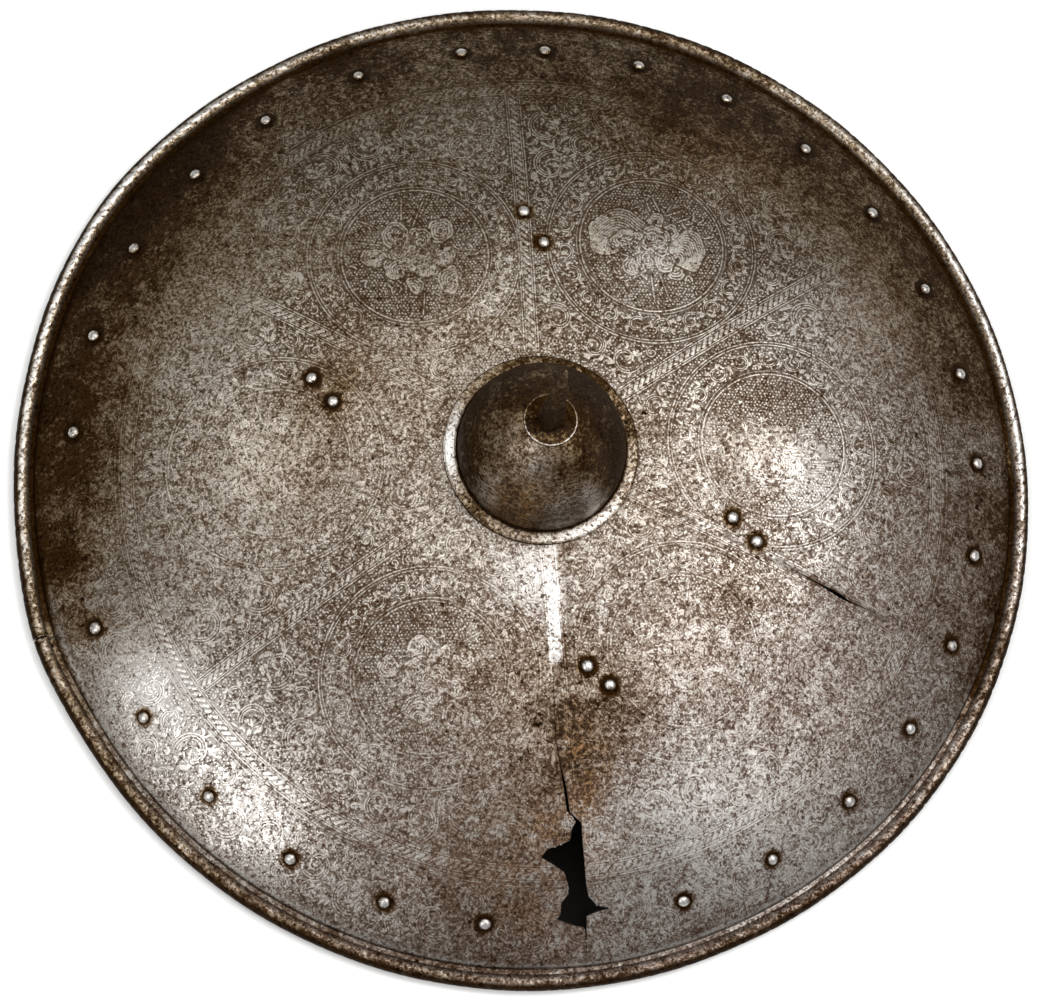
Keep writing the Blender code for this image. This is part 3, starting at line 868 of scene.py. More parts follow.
def near_points_group(points: Array) -> NodeTree:
    """Build the darkening round a rivet's foot, grimy deposit with painted shade: the distance to the
    nearest of some points.

    Args:
        points: The rivets' seats in millimetres.

    Returns:
        The node group; its first output rises from 0 at 8 mm to 1 at 3.6 mm, and Ring, a dark ring of the
        sunk ground, from 5.2 mm to 3.8 mm.
    """
    outputs = {"Dirt": "Float", "Ring": "Float"}
    group, graph, given, result = new_group("rivet_dirt", {"Place": "Vector"}, outputs)
    nearest = 1.0
    for point in points:
        away = graph.vector("DISTANCE", given["Place"], tuple(point * MM))["Value"]
        nearest = graph.math("MINIMUM", nearest, away)
    graph.fill(result, {"Dirt": graph.step(nearest, 8.0 * MM, 3.6 * MM),
                        "Ring": graph.step(nearest, 5.2 * MM, 3.8 * MM)})
    return group


@dataclass(frozen=True)
class Stroke:
    """A straight mark on the shield: its two ends, half its width and its strength."""

    start: Pair
    end: Pair
    half_width: float
    amount: float


def strokes_group(name: str, strokes: Sequence[Stroke], wobble: float) -> NodeTree:
    """Build the effect of straight marks with ragged edges: the distance to the nearest stretch of line.

    The nearest point of a line from a to b is a plus (b - a) times the share (p - a).(b - a) / |b - a|
    squared, kept between 0 and 1. Noise of wobble millimetres is added to the distance.

    Args:
        name: The group's name.
        strokes: The marks.
        wobble: How ragged their edges are, in millimetres.

    Returns:
        The node group.
    """
    group, graph, given, result = new_group(name, {"Place": "Vector"}, {"Mask": "Float"})
    flat = graph.vector("MULTIPLY", given["Place"], (1.0, 1.0, 0.0))["Vector"]
    cloud = graph.noise(given["Place"], 260.0, 3.0, 0.65)
    ragged = graph.math("MULTIPLY_ADD", cloud, 2.0 * wobble * MM, -wobble * MM)
    mask = 0.0
    for stroke in strokes:
        start, end = (Vector((*place, 0.0)) * MM for place in (stroke.start, stroke.end))
        run = end - start
        offset = graph.vector("SUBTRACT", flat, start)["Vector"]
        dot = graph.vector("DOT_PRODUCT", offset, run / run.length_squared)["Value"]
        nearest = graph.vector("MULTIPLY", run, graph.math("MULTIPLY", dot, 1.0, clamp=True))["Vector"]
        away = graph.math("ADD", graph.vector("DISTANCE", offset, nearest)["Value"], ragged)
        inside = graph.step(away, stroke.half_width * MM, 0.45 * stroke.half_width * MM)
        mask = graph.math("MAXIMUM", mask, graph.math("MULTIPLY", inside, stroke.amount))
    graph.feed(result["Mask"], mask)
    return group


SCARS = (
    Stroke((69, -32), (87, -38.5), 1.7, 0.8), Stroke((103, -46), (133, -59.5), 1.5, 0.7),
    Stroke((133, -59), (196, -86), 2.6, 0.75), Stroke((-99, -69), (-86, -80), 1.6, 0.6),
    Stroke((10.5, -116), (17, -190), 2.2, 0.55), Stroke((-262, -84), (-278, -94), 3, 0.8),
    Stroke((15.6, -56), (19, -112), 2.4, 0.55))
BURNISHED = (
    Stroke((7.2, -56), (8.8, -84), 5.4, 0.72), Stroke((8.8, -84), (10.2, -116), 4.8, 0.68),
    Stroke((0.5, -64), (1, -84), 5.5, 0.35))


@dataclass(frozen=True)
class SteelFinish:
    """One piece's steel: how grimy and shaded, worn bright and highlighted, rusty and rough it is, over what
    its mesh says; the shade and highlights are painted.
    """

    name: str
    grime: float = 0.0
    gloss: float = 0.0
    rust: float = 0.0
    ground: float = 0.0
    bump: float = 0.25
    crisp_gloss: float = 0.0
    from_mesh: bool = True
    nicked: bool = False
    outline: float = 0.0
    dirt: NodeTree | None = None
    scars: NodeTree | None = None
    burnished: NodeTree | None = None

    def material(self, old_steel: NodeTree) -> Material:
        """Build the material.

        Args:
            old_steel: The shared steel effect.

        Returns:
            The material.
        """
        material = bpy.data.materials.new(self.name)
        material.use_nodes = True
        graph = Graph(material.node_tree)
        place = graph.place()
        grime, gloss, rust, ground = self.grime, self.gloss, self.rust, self.ground
        if self.from_mesh:
            grime = graph.math("ADD", graph.value("grime"), grime, clamp=True)
            gloss = graph.weigh(gloss, (graph.value("gloss"), 1.0), (graph.value("crisp"), self.crisp_gloss))
            rust = graph.math("ADD", graph.value("rust"), rust, clamp=True)
            ground = graph.math("MULTIPLY", graph.value("crisp"), ground, clamp=True)
            # Painted highlight: where polished and highlighted, the sunk ground is paler too
            ground = graph.math("MULTIPLY", ground, graph.weigh(1.0, (gloss, -0.6)), clamp=True)
        polish = graph.math("SUBTRACT", gloss, grime)
        if self.nicked:
            ground = graph.math("MAXIMUM", graph.value("nick"), ground)
        if self.outline:
            ground = graph.math("MULTIPLY", graph.step(graph.value("nick"), 0.5, 0.9), self.outline)
        # Round the rivets' feet: darker, grimy deposit with painted shade, and a dark ring of sunk ground
        if self.dirt:
            dirt = graph.effect(self.dirt, Place=place)
            grime = graph.math("ADD", grime, graph.math("MULTIPLY", dirt["Dirt"], 0.8), clamp=True)
            ground = graph.math("MAXIMUM", ground, dirt["Ring"])
        if self.scars:
            ground = graph.math("MAXIMUM", ground, graph.effect(self.scars, Place=place)["Mask"])
        if self.burnished:
            bright = graph.effect(self.burnished, Place=place)["Mask"]
            gloss = graph.math("MAXIMUM", gloss, bright)
            grime = graph.math("MULTIPLY_ADD", bright, -0.8, grime, clamp=True)
        steel = graph.effect(old_steel, Place=place, Grime=grime, Gloss=gloss, Rust=rust, Ground=ground,
                             Polish=polish)
        bump = graph.add("ShaderNodeBump", {"Strength": self.bump, "Distance": 0.3 * MM,
                                            "Height": steel["Height"]})
        shader = material.node_tree.nodes["Principled BSDF"]
        graph.fill(shader.inputs, {"Base Color": steel["Color"], "Roughness": steel["Roughness"],
                                   "Metallic": steel["Metallic"], "Normal": bump.outputs["Normal"]})
        return material


# The raster on which the engraving keeps account of what it covers, and the room it leaves
CELL = 0.5
RASTER_REACH = 280.0
LINE_GAP = 0.25
BOSS_CLEARANCE = 54.6
RIVET_CLEARANCE = 3.9
SCROLL_CLEARANCE = 4.2

# The pattern's plan: the six bands' bearings, the ring band, and each medallion's radius and bearing
BANDS = (93, 34.4, -24, -84.5, -144.5, 151)
BAND_START = 57.0
RING_RADIUS = 228.0
RING_MIDDLE = (2.1, -2.1)
ORNAMENT_END = 274.0
MEDALLIONS = ((140, 62), (133, 3.3), (137, -53.6), (140, -114.4), (144, -176.8),
              (132, 121))


def ribbons(paths: Array, widths: Array, crest: Array | float, free: Array,
            lift: Callable[[Array, Array], Array]) -> Mesh:
    """Carry a three-sided section of right foot, crest and left foot along each path.

    The feet lie just under the face. A path ends in a closed point wherever it isn't free.

    Args:
        paths: Paths by stations by two, on the ground plan.
        widths: Width at each station.
        crest: Height of the crest at each station.
        free: Which stations are kept.
        lift: Carries ground points onto the face, some way above it.

    Returns:
        The points, each with 1 for a foot and 0 for a crest after it, the quads and the triangles.
    """
    count, stations = paths.shape[:2]
    side = sideways(paths)
    inner = free.copy()
    inner[:, 1:] &= free[:, :-1]
    inner[:, :-1] &= free[:, 1:]
    half = (np.where(inner, widths, 0.04) * 0.5)[..., None]
    crest = np.where(inner, crest, -0.005)
    foot = np.full_like(crest, -0.02)
    ground = np.stack([paths - side * half, paths, paths + side * half], axis=2)
    points = lift(ground, np.stack([foot, crest, foot], axis=2)).reshape(-1, 3)
    points = np.column_stack([points, np.tile([1.0, 0.0, 1.0], count * stations)])
    corner = np.arange(count) * stations * 3
    strip = grid_quads(stations, 3, True).reshape(-1, 3, 4)
    kept = free[:, 1:] & free[:, :-1]
    quads = (corner[:, None, None, None] + strip[None])[kept].reshape(-1, 4)
    first = corner[:, None] + (0, 1, 2)
    last = corner[:, None] + (stations - 1) * 3 + (2, 1, 0)
    return points, quads, np.concatenate([first[kept[:, 0]], last[kept[:, -1]]])


def join(meshes: Sequence[Mesh]) -> Mesh:
    """Put meshes together and leave out points that no face uses.

    Args:
        meshes: The meshes.

    Returns:
        One mesh.
    """
    points, *faces = zip(*meshes)
    starts = np.cumsum([0] + [len(part) for part in points])
    quads, triangles = (np.concatenate([part + start for part, start in zip(parts, starts)])
                        for parts in faces)
    used, index = np.unique(np.concatenate([quads.ravel(), triangles.ravel()]), return_inverse=True)
    return np.concatenate(points)[used], index[:quads.size].reshape(-1, 4), index[quads.size:].reshape(-1, 3)


class Engraving:
    """The raised lines and dots that the etching left standing on its sunk ground."""

    def __init__(self, dish: Dish, places: Places, rivets: Array) -> None:
        """Start with bare steel.

        Args:
            dish: The dish that it lies on.
            places: Where it is crisp and where worn.
            rivets: The rivets' places on the ground plan.
        """
        self.dish, self.places, self.rivets = dish, places, rivets
        cells = round(2.0 * RASTER_REACH / CELL)
        self.taken = np.zeros((cells, cells), dtype=bool)
        self.lines: dict[str, list[tuple[Array, Array, float, Array]]] = {}
        self.dots: list[tuple[Array, float]] = []

    def draw(self, group: str, paths: Array, width: Array | float, height: float = 0.17,
             tapered: bool = True, exempt: int | None = None, behind: bool = False) -> None:
        """Add raised lines.

        Args:
            group: The mesh that they belong to.
            paths: Their stations, as an array of paths by stations by two.
            width: Their width, which may change along them.
            height: How high their crests stand.
            tapered: Whether both ends narrow to a point.
            exempt: Where given, a line ends where it meets an earlier one, these first stations apart.
            behind: Whether a line passes behind earlier ones and comes out again.
        """
        paths = paths.reshape(-1, *paths.shape[-2:])
        widths = np.broadcast_to(np.asarray(width, dtype=float), paths.shape[:2]).copy()
        free = np.ones(paths.shape[:2], dtype=bool)
        met = self.taken[self.cells(paths)]
        if behind:
            free = ~met
        if exempt is not None:
            met[:, :exempt] = False
            free = ~np.logical_or.accumulate(met, axis=1)
            long_enough = free.sum(axis=1) > 3
            paths, widths, free = paths[long_enough], widths[long_enough], free[long_enough]
        if not len(paths):
            return
        if tapered:
            share = np.linspace(0.0, 1.0, paths.shape[1])
            widths *= bounded(np.minimum(share, 1.0 - share) * 6.0 + 0.12)
        self.lines.setdefault(group, []).append((paths, widths, height, free))
        self.mark(paths, widths + LINE_GAP, free)

    def mark(self, paths: Array, widths: Array, free: Array) -> None:
        """Mark the ground that lines cover: each is sampled along and across at half a millimetre.

        Args:
            paths: The lines' stations.
            widths: Their widths.
            free: Which stations count.
        """
        length = np.linalg.norm(np.diff(paths, axis=1), axis=-1).max()
        finer = max(1, math.ceil(length / CELL))
        share = np.linspace(0.0, 1.0, finer, endpoint=False)[:, None]
        across = np.linspace(-0.5, 0.5, max(2, math.ceil(widths.max() / CELL) + 1))
        offset = across[:, None] * widths[:, :, None, None]
        strip = paths[:, :, None] + sideways(paths)[:, :, None] * offset
        dense = strip[:, :-1, None] * (1.0 - share)[:, :, None] + strip[:, 1:, None] * share[:, :, None]
        self.taken[self.cells(dense[free[:, 1:]])] = True

    def cells(self, points: Array) -> tuple[Array, Array]:
        """Return the raster's rows and columns of ground points."""
        index = ((points + RASTER_REACH) / CELL).astype(int).clip(0, len(self.taken) - 1)
        return index[..., 1], index[..., 0]

    def shown(self, points: Array) -> Array:
        """Tell which ground points have sheet under them and nothing on them.

        Args:
            points: The points.

        Returns:
            True for those.
        """
        free = (distance(points, (0.0, 0.0)) < ORNAMENT_END + 1.0)
        free &= distance(points, self.dish.middle) > BOSS_CLEARANCE
        for seam in SEAMS:
            free &= ~seam.is_open(points, 0.5)
        for rivet in self.rivets:
            free &= distance(points, rivet) > RIVET_CLEARANCE
        return free

    def relief(self, points: Array) -> Array:
        """Return how much of the relief's height is left at ground points."""
        return 0.2 + 0.8 * self.places.fields(points)["crisp"]

    def build_lines(self, group: str, finish: Material) -> None:
        """Make one mesh of a group's lines.

        Args:
            group: The group.
            finish: Its material.
        """
        meshes = []
        for paths, widths, height, free in self.lines[group]:
            crest = 0.75 * height * self.relief(paths) * np.clip(widths / 0.8, 0.3, 1.0)
            meshes.append(ribbons(paths, widths, crest, free & self.shown(paths), self.dish.lift))
        shape = join(meshes)
        fields = {**self.places.fields(shape[0]), "nick": shape[0][:, 3]}
        add_piece(f"etched_{group}", shape, (finish,), fields, slot="plate_steel")

    def sprinkle(self, points: Array, radius: float) -> None:
        """Add dots where the ground is free of lines and rivets.

        Args:
            points: Where they would lie.
            radius: Their radius.
        """
        blocked = self.taken.copy()
        for across in range(-2, 3):
            for up in range(-2, 3):
                if across * across + up * up <= 1.5:
                    blocked |= np.roll(self.taken, (up, across), axis=(0, 1))
        free = ~blocked[self.cells(points)] & self.shown(points)
        self.dots.append((points[free], radius))

    def build_dots(self, finish: Material) -> None:
        """Make one mesh of all the dots: each is a five-sided cone with a flat foot in the sheet.

        Args:
            finish: Its material.
        """
        sides = 5
        middles = np.concatenate([dots for dots, _ in self.dots])
        radii = np.concatenate([np.full(len(dots), radius) for dots, radius in self.dots])
        radii = radii * np.random.default_rng(8).uniform(0.8, 1.12, len(radii))
        turn = np.arange(sides) * 2.0 * math.pi / sides
        ring = np.stack([np.cos(turn), np.sin(turn)], axis=-1)
        ground = np.concatenate([middles[:, None] + ring * radii[:, None, None], middles[:, None]], axis=1)
        above = np.full(ground.shape[:2], -0.02)
        above[:, -1] = 0.13 * self.relief(middles)
        points = self.dish.lift(ground, above).reshape(-1, 3)
        corner = (np.arange(len(middles)) * (sides + 1))[:, None, None]
        around = np.arange(sides)
        cone = np.stack([around, (around + 1) % sides, np.full(sides, sides)], axis=-1)
        foot = np.array([[0, 2, 1], [0, 3, 2], [0, 4, 3]])
        triangles = (corner + np.concatenate([cone, foot])[None]).reshape(-1, 3)
        fields = {**self.places.fields(points), "nick": np.tile([1.0] * sides + [0.0], len(middles))}
        shape = (points, np.zeros((0, 4), dtype=int), triangles)
        add_piece("etched_dots", shape, (finish,), fields, slot="plate_steel")


def turned(points: Array, degrees: float) -> Array:
    """Turn ground points round the origin.

    Args:
        points: The points.
        degrees: How far, counter-clockwise.

    Returns:
        The turned points.
    """
    angle = math.radians(degrees)
    spin = np.array([[math.cos(angle), math.sin(angle)], [-math.sin(angle), math.cos(angle)]])
    return points @ spin


def headed(bases: Array, headings: Array, lengths: Array) -> Array:
    """Walk paths from their bases, whose headings change from station to station.

    Args:
        bases: Starting points, paths by two.
        headings: Headings in radians, paths by stations.
        lengths: Whole lengths of the paths.

    Returns:
        The stations, paths by stations by two.
    """
    stride = np.stack([np.cos(headings), np.sin(headings)], axis=-1)
    stride *= (lengths / (headings.shape[1] - 1))[:, None, None]
    walked = np.cumsum(stride, axis=1) - stride
    return bases[:, None] + walked


class Motif(Enum):
    """What fills a medallion: a group of shields, a heap of arms with lances up or round it, or folds."""

    SHIELDS = 1
    HEAP = 2
    WHEEL = 3
    FOLDS = 4


class Form(Enum):
    """How a trophy's form is drawn: ribbed like a shell, ringed like a target, or framed and hatched."""

    SHELL = 1
    TARGET = 2
    FRAMED = 3


# The waves of each kind of outline: number, amount and shift in degrees
FORM_WAVES = {
    Form.SHELL: ((1, 0.16, 90), (2, 0.06, 0), (3, 0.09, -90)),
    Form.TARGET: ((3, 0.03, 40),),
    Form.FRAMED: ((2, 0.05, 0), (4, 0.05, 0)),
}

# Each form's kind, place, half width, half height and lean; each lance's foot and point
SHIELD_GROUP = (
    (Form.FRAMED, -14.5, 2.6, 8, 5.4, 15), (Form.FRAMED, 2, 3, 7.5, 8.5, 30),
    (Form.TARGET, 7, -10.5, 5, 6, 10), (Form.SHELL, -19, 5.5, 16.5, 13, 25),
    (Form.SHELL, 20, -4.5, 9, 12.5, -18), (Form.SHELL, -3, -9, 6, 5, 60),
    (Form.FRAMED, 2, 14, 6, 4, 60), (Form.SHELL, 13, -16, 5, 4, 140),
    (Form.SHELL, -12, -14, 5, 4, 110), (Form.FRAMED, 11, 8, 4.5, 4, 80))
LANCES = {
    Motif.SHIELDS: ((3.5, 9.6, -2.6, 27.8), (10.4, 8.7, 0.9, 31), (4.3, 13, 12.2, 26),
                    (0, 14.8, 19, 23), (3.5, 9.6, 22.6, 18.3), (-1, -18, 1, -36),
                    (4, -18, 9, -33)),
    Motif.HEAP: ((-4, 18, -16, 35), (3, 20, 12, 35), (8, 16, 24, 29), (-12, 14, -27, 26),
                 (-8, -24, -15, -34)),
    Motif.WHEEL: ((-22, 8, -36, 13), (22, 6, 36, 10), (4, 22, 9, 37), (-9, 20, -17, 33),
                  (10, -20, 18, -32), (-14, -18, -24, -29)),
}


@dataclass
class Ornament:
    """The etched pattern: cabled bands, medallions with trophies, and scrolls over dotted ground."""

    board: Engraving
    border_lines: Rows = ((2.65, 0.75), (3.95, 0.85))
    link_pitch: float = 3.95
    field_radius: float = 41.0
    ring_radius: float = 58.5
    scroll_sizes: tuple[float, ...] = (13.0, 10.5, 8.5, 7.0, 5.6, 4.4, 3.4)
    motifs: tuple[Motif, ...] = (Motif.SHIELDS, Motif.FOLDS, Motif.WHEEL, Motif.HEAP, Motif.WHEEL,
                                 Motif.HEAP)
    heap_size: int = 12
    link_reach: Pair = (2.7, 1.75)
    link_width: float = 2.5
    scrolls_per_ring: int = 20
    outer_line: float = 234.4

    def __post_init__(self) -> None:
        """Set the medallions' middles and the seed."""
        self.middles = np.array([polar(*medallion) for medallion in MEDALLIONS])
        self.chance = np.random.default_rng(1560)

    def lay_out(self) -> None:
        """Draw everything, the ground's dots last."""
        self.straight_bands()
        self.ring_band()
        self.medallion_rings()
        for middle, (_, bearing), motif in zip(self.middles, MEDALLIONS, self.motifs):
            if motif is Motif.FOLDS:
                self.folds(middle)
            else:
                self.trophy(middle, bearing - (62.0 if motif is Motif.SHIELDS else 90.0), motif)
        self.fill_with_scrolls()
        self.grasses(5000, 5.0)
        self.ground_dots()

    def links(self, axis: Array, side: Array, along: Array) -> Array:
        """Return S-shaped links across a band.

        A link runs slantwise: along the band by a reach times t, and across it by another times
        the sine of a quarter turn times t, with t from -1 to 1.

        Args:
            axis: The links' middles.
            side: Unit vectors across the band there.
            along: Unit vectors along it.

        Returns:
            The links' stations.
        """
        t = np.linspace(-1.0, 1.0, 7)[None, :, None]
        long, wide = self.link_reach
        return axis[:, None] + along[:, None] * long * t + side[:, None] * wide * np.sin(t * math.pi / 2.0)

    def straight_bands(self) -> None:
        """Draw the six bands from the boss to the ring band."""
        for bearing in BANDS:
            along, side = polar(1.0, bearing), polar(1.0, bearing + 90.0)
            end = RING_RADIUS - 4.6
            radii = np.linspace(BAND_START, end, 86)
            for across, width in self.border_lines:
                for hand in (-1.0, 1.0):
                    path = radii[:, None] * along + hand * across * side
                    self.board.draw("bands", path, width, tapered=False)
            middles = np.arange(BAND_START + 2.0, end - 1.0, self.link_pitch)
            link = self.links(middles[:, None] * along, side[None], along[None])
            self.board.draw("bands", link, self.link_width, 0.2)

    def ring_band(self) -> None:
        """Draw the band round the dish, whose circle is a little off centre."""
        middle = np.array(RING_MIDDLE)
        for across, width in self.border_lines:
            for hand in (-1.0, 1.0):
                circle = polar(RING_RADIUS + hand * across, np.linspace(0.0, 360.0, 721)) + middle
                self.board.draw("bands", circle, width, tapered=False)
        count = round(2.0 * math.pi * RING_RADIUS / self.link_pitch)
        bearings = np.arange(count) * 360.0 / count
        link = self.links(polar(RING_RADIUS, bearings) + middle, polar(1.0, bearings),
                          -polar(1.0, bearings + 90.0))
        self.board.draw("bands", link, self.link_width, 0.2)
        circle = polar(self.outer_line, np.linspace(0.0, 360.0, 721)) + middle
        self.board.draw("bands", circle, 0.6, 0.14, tapered=False)

    def medallion_rings(self) -> None:
        """Draw each medallion's inner and outer rings, and the scrolls between them."""
        turn = np.linspace(0.0, 360.0, 181)
        for middle in self.middles:
            for radius, width in ((self.field_radius, 1.0), (self.field_radius + 1.9, 0.6),
                                  (self.ring_radius, 0.7), (self.ring_radius + 1.6, 0.9)):
                self.board.draw("medallions", polar(radius, turn) + middle, width, tapered=False)
            count = self.scrolls_per_ring
            bearings = np.arange(count) * 360.0 / count + self.chance.uniform(0.0, 18.0)
            centres = middle + polar((self.field_radius + self.ring_radius) / 2.0 + 0.7, bearings)
            hands = np.where(np.arange(count) % 2 == 0, 1.0, -1.0)
            self.scrolls("medallion_rings", centres, np.full(count, 7.0), bearings + 90.0 * hands, hands, 6)

    def scrolls(self, group: str, centres: Array, radii: Array, starts: Array, hands: Array,
                leaves: int) -> None:
        """Draw acanthus scrolls.

        A stem of two strands winds in by 1.3 turns while its radius falls from R to 0.2 R. Leaves leave
        it at even steps to both sides. A leaf is a fan of strands, whose headings start along the stem
        and bend steadily away from it; a strand ends where it meets something drawn before.

        Args:
            group: The mesh that they belong to.
            centres: The scrolls' middles.
            radii: Their outer radii.
            starts: Bearings at which the stems begin.
            hands: 1 for counter-clockwise, -1 for clockwise.
            leaves: Leaves to a side.
        """
        size = float(radii[0])
        stations = int(14 + 1.2 * size)
        share = np.linspace(0.0, 1.0, stations)
        angle = np.radians(starts)[:, None] + hands[:, None] * share * math.radians(470.0)
        curl = np.stack([np.cos(angle), np.sin(angle)], axis=-1)
        reach = radii[:, None] * (0.9 - 0.72 * share ** 0.9)
        stem = centres[:, None] + reach[..., None] * curl
        thick = np.clip(0.65 + 0.06 * size, 0.8, 1.4)
        self.board.draw(group, stem, thick * (0.85 + 0.7 * share ** 3), 0.13)
        for strand in range(1, 1 + int(size > 5.0) + int(size > 8.0)):
            inner = centres[:, None] + (reach - strand * (thick + 0.12))[..., None] * curl
            self.board.draw(group, inner[:, : int(stations * (0.9 - 0.25 * strand))], thick * 0.75, 0.13)
        at = np.linspace(0.02, 0.78, leaves)
        tangent = np.gradient(stem, axis=1)
        bend = np.linspace(0.0, 1.0, 6)
        fan = np.linspace(0.0, 1.0, 3 if size > 5.0 else 2)
        for where in at:
            index = int(where * (stations - 1))
            heading = np.arctan2(tangent[:, index, 1], tangent[:, index, 0])
            outer = self.chance.uniform((0.3, 0.5, -1.2), (0.9, 0.9, 1.9), (len(centres), 1, 1, 3))
            for outward, shape in ((-1.0, np.moveaxis(outer, -1, 0)), (1.0, (0.75, 0.6, 1.6))):
                opening, spreading, curve = shape
                turn = outward * hands[:, None, None] * (
                    opening + fan[:, None] * spreading + curve * bend * (1.0 + 0.6 * fan[:, None]))
                turn = np.broadcast_to(turn, (len(centres), len(fan), len(bend)))
                length = size * (0.86 - 0.4 * where) * (1.0 - 0.34 * fan)
                length = length * self.chance.uniform(0.85, 1.15, (len(centres), len(fan)))
                path = headed(np.repeat(stem[:, index], len(fan), axis=0),
                              (heading[:, None, None] + turn).reshape(-1, len(bend)), length.reshape(-1))
                wide = (0.45 + np.sin(bend * math.pi * 0.85) ** 0.8)[None] * (0.072 * size + 0.62)
                self.board.draw(group, path, wide, 0.13, exempt=2)

    def grasses(self, count: int, length: float) -> None:
        """Fill gaps with short curved strands that follow a gently turning field of headings.

        Args:
            count: How many are tried.
            length: How long the longest are.
        """
        bend = np.linspace(-0.5, 0.5, 5)
        bases = polar(np.sqrt(self.chance.uniform(BAND_START ** 2, ORNAMENT_END ** 2, count)),
                      self.chance.uniform(0.0, 360.0, count))
        bases = bases[self.from_medallions(bases) > self.field_radius + 3.0]
        x, y = bases.T
        heading = 2.4 * np.sin(0.09 * x + 1.0) + 2.4 * np.sin(0.085 * y - 0.05 * x)
        heading = heading + 0.4 * self.chance.normal(size=len(x))
        path = headed(bases, heading[:, None] + bend * self.chance.uniform(1.0, 3.0, (len(x), 1)),
                      self.chance.uniform(0.6, 1.0, len(x)) * length)
        self.board.draw("grasses", path, 1.0, 0.14, exempt=0)

    def from_medallions(self, points: Array) -> Array:
        """Return how far ground points are from the middle of the nearest medallion."""
        return np.min([distance(points, middle) for middle in self.middles], axis=0)

    def outline(self, turn: float, size: Pair, waves: Rows) -> Array:
        """Return a closed outline: an ellipse that is swelled by cosine waves, and a little by chance.

        Args:
            turn: How far it is turned.
            size: Its half width and half height.
            waves: Each wave's number, amount and shift in degrees.

        Returns:
            Its stations round the origin, the last on the first.
        """
        u = np.linspace(0.0, 2.0 * math.pi, 43)
        swell = 1.0 + sum(amount * np.cos(number * u - math.radians(shift))
                          for number, amount, shift in waves)
        for number in (4, 5, 7):
            amount = self.chance.uniform(0.02, 0.26 / number)
            swell += amount * np.cos(number * u + self.chance.uniform(0.0, 6.3))
        return turned(np.stack([size[0] * np.cos(u) * swell, size[1] * np.sin(u) * swell], axis=-1), turn)

    def nested(self, place: Array, outline: Array, pitch: float, width: float, least: float = 0.12,
               anchor: Array | float = 0.0) -> None:
        """Draw an outline and smaller copies inside it, a pitch apart at the far side of an anchor.

        Args:
            place: The outline's origin.
            outline: Its stations.
            pitch: The pitch.
            width: The lines' width.
            least: The smallest copy's scale.
            anchor: The point that all copies share.
        """
        reach = np.linalg.norm(outline - anchor, axis=-1).max()
        scales = np.arange(1.0, least, -pitch / reach)[:, None, None]
        self.board.draw("medallions", place + anchor + (outline - anchor)[None] * scales, width, 0.1,
                        tapered=False, behind=True)

    def lances(self, place: Array, turn: float, ends: Rows) -> None:
        """Draw straight lances with small cross bars near their points, given by both ends.

        Args:
            place: The medallion's middle.
            turn: How far they are turned.
            ends: Each one's foot and point.
        """
        share = np.linspace(0.0, 1.0, 18)[None, :, None]
        pairs = np.array(ends)
        foot, tip = pairs[:, :2], pairs[:, 2:]
        shaft = foot[:, None] + (tip - foot)[:, None] * share
        along = (tip - foot) / np.linalg.norm(tip - foot, axis=-1, keepdims=True)
        side = np.stack([-along[:, 1], along[:, 0]], axis=-1)
        middle = foot + (tip - foot) * 0.8
        bar = middle[:, None] + side[:, None] * (share[:, ::3] - 0.5) * 3.4
        self.board.draw("medallions", place + turned(shaft, turn), 1.0, behind=True)
        self.board.draw("medallions", place + turned(bar, turn), 0.8, behind=True)

    def hatching(self, place: Array, turn: float, size: Pair, pitch: float, sag: float) -> None:
        """Fill an ellipse with strokes along its width, each bowed down by a sag in its middle.

        Args:
            place: Its middle.
            turn: How far it is turned.
            size: Its half width and half height.
            pitch: From stroke to stroke.
            sag: The sag.
        """
        rows = np.arange(-size[1] + pitch, size[1] - pitch * 0.5, pitch)[:, None]
        share = np.linspace(-1.0, 1.0, 17)[None]
        half = size[0] * np.sqrt(1.0 - (rows / size[1]) ** 2) * 0.9
        bowed = rows - sag * (1.0 - share ** 2) + 0.25 * np.sin(share * 9.0 + rows)
        path = np.stack([half * share, bowed], axis=-1)
        self.board.draw("medallions", place + turned(path, turn), pitch * 0.84, 0.1, behind=True)

    def heap(self) -> list[tuple[Form, float, float, float, float, float]]:
        """Heap small forms on a spiral of golden angles, those near the middle first and so in front.

        Returns:
            Each form's kind, place, half width, half height and lean.
        """
        count = self.heap_size
        bearings = 137.5 * np.arange(count) + self.chance.uniform(0.0, 360.0)
        middles = polar(np.linspace(2.5, 25.0, count), bearings)
        sizes = self.chance.uniform((4.2, 3.8), (8.2, 7.0), (count, 2))
        leans = self.chance.uniform(0.0, 360.0, count)
        kinds = np.resize(np.array([Form.SHELL, Form.FRAMED, Form.SHELL, Form.TARGET]), count)
        return list(zip(self.chance.permutation(kinds), *middles.T, *sizes.T, leans))

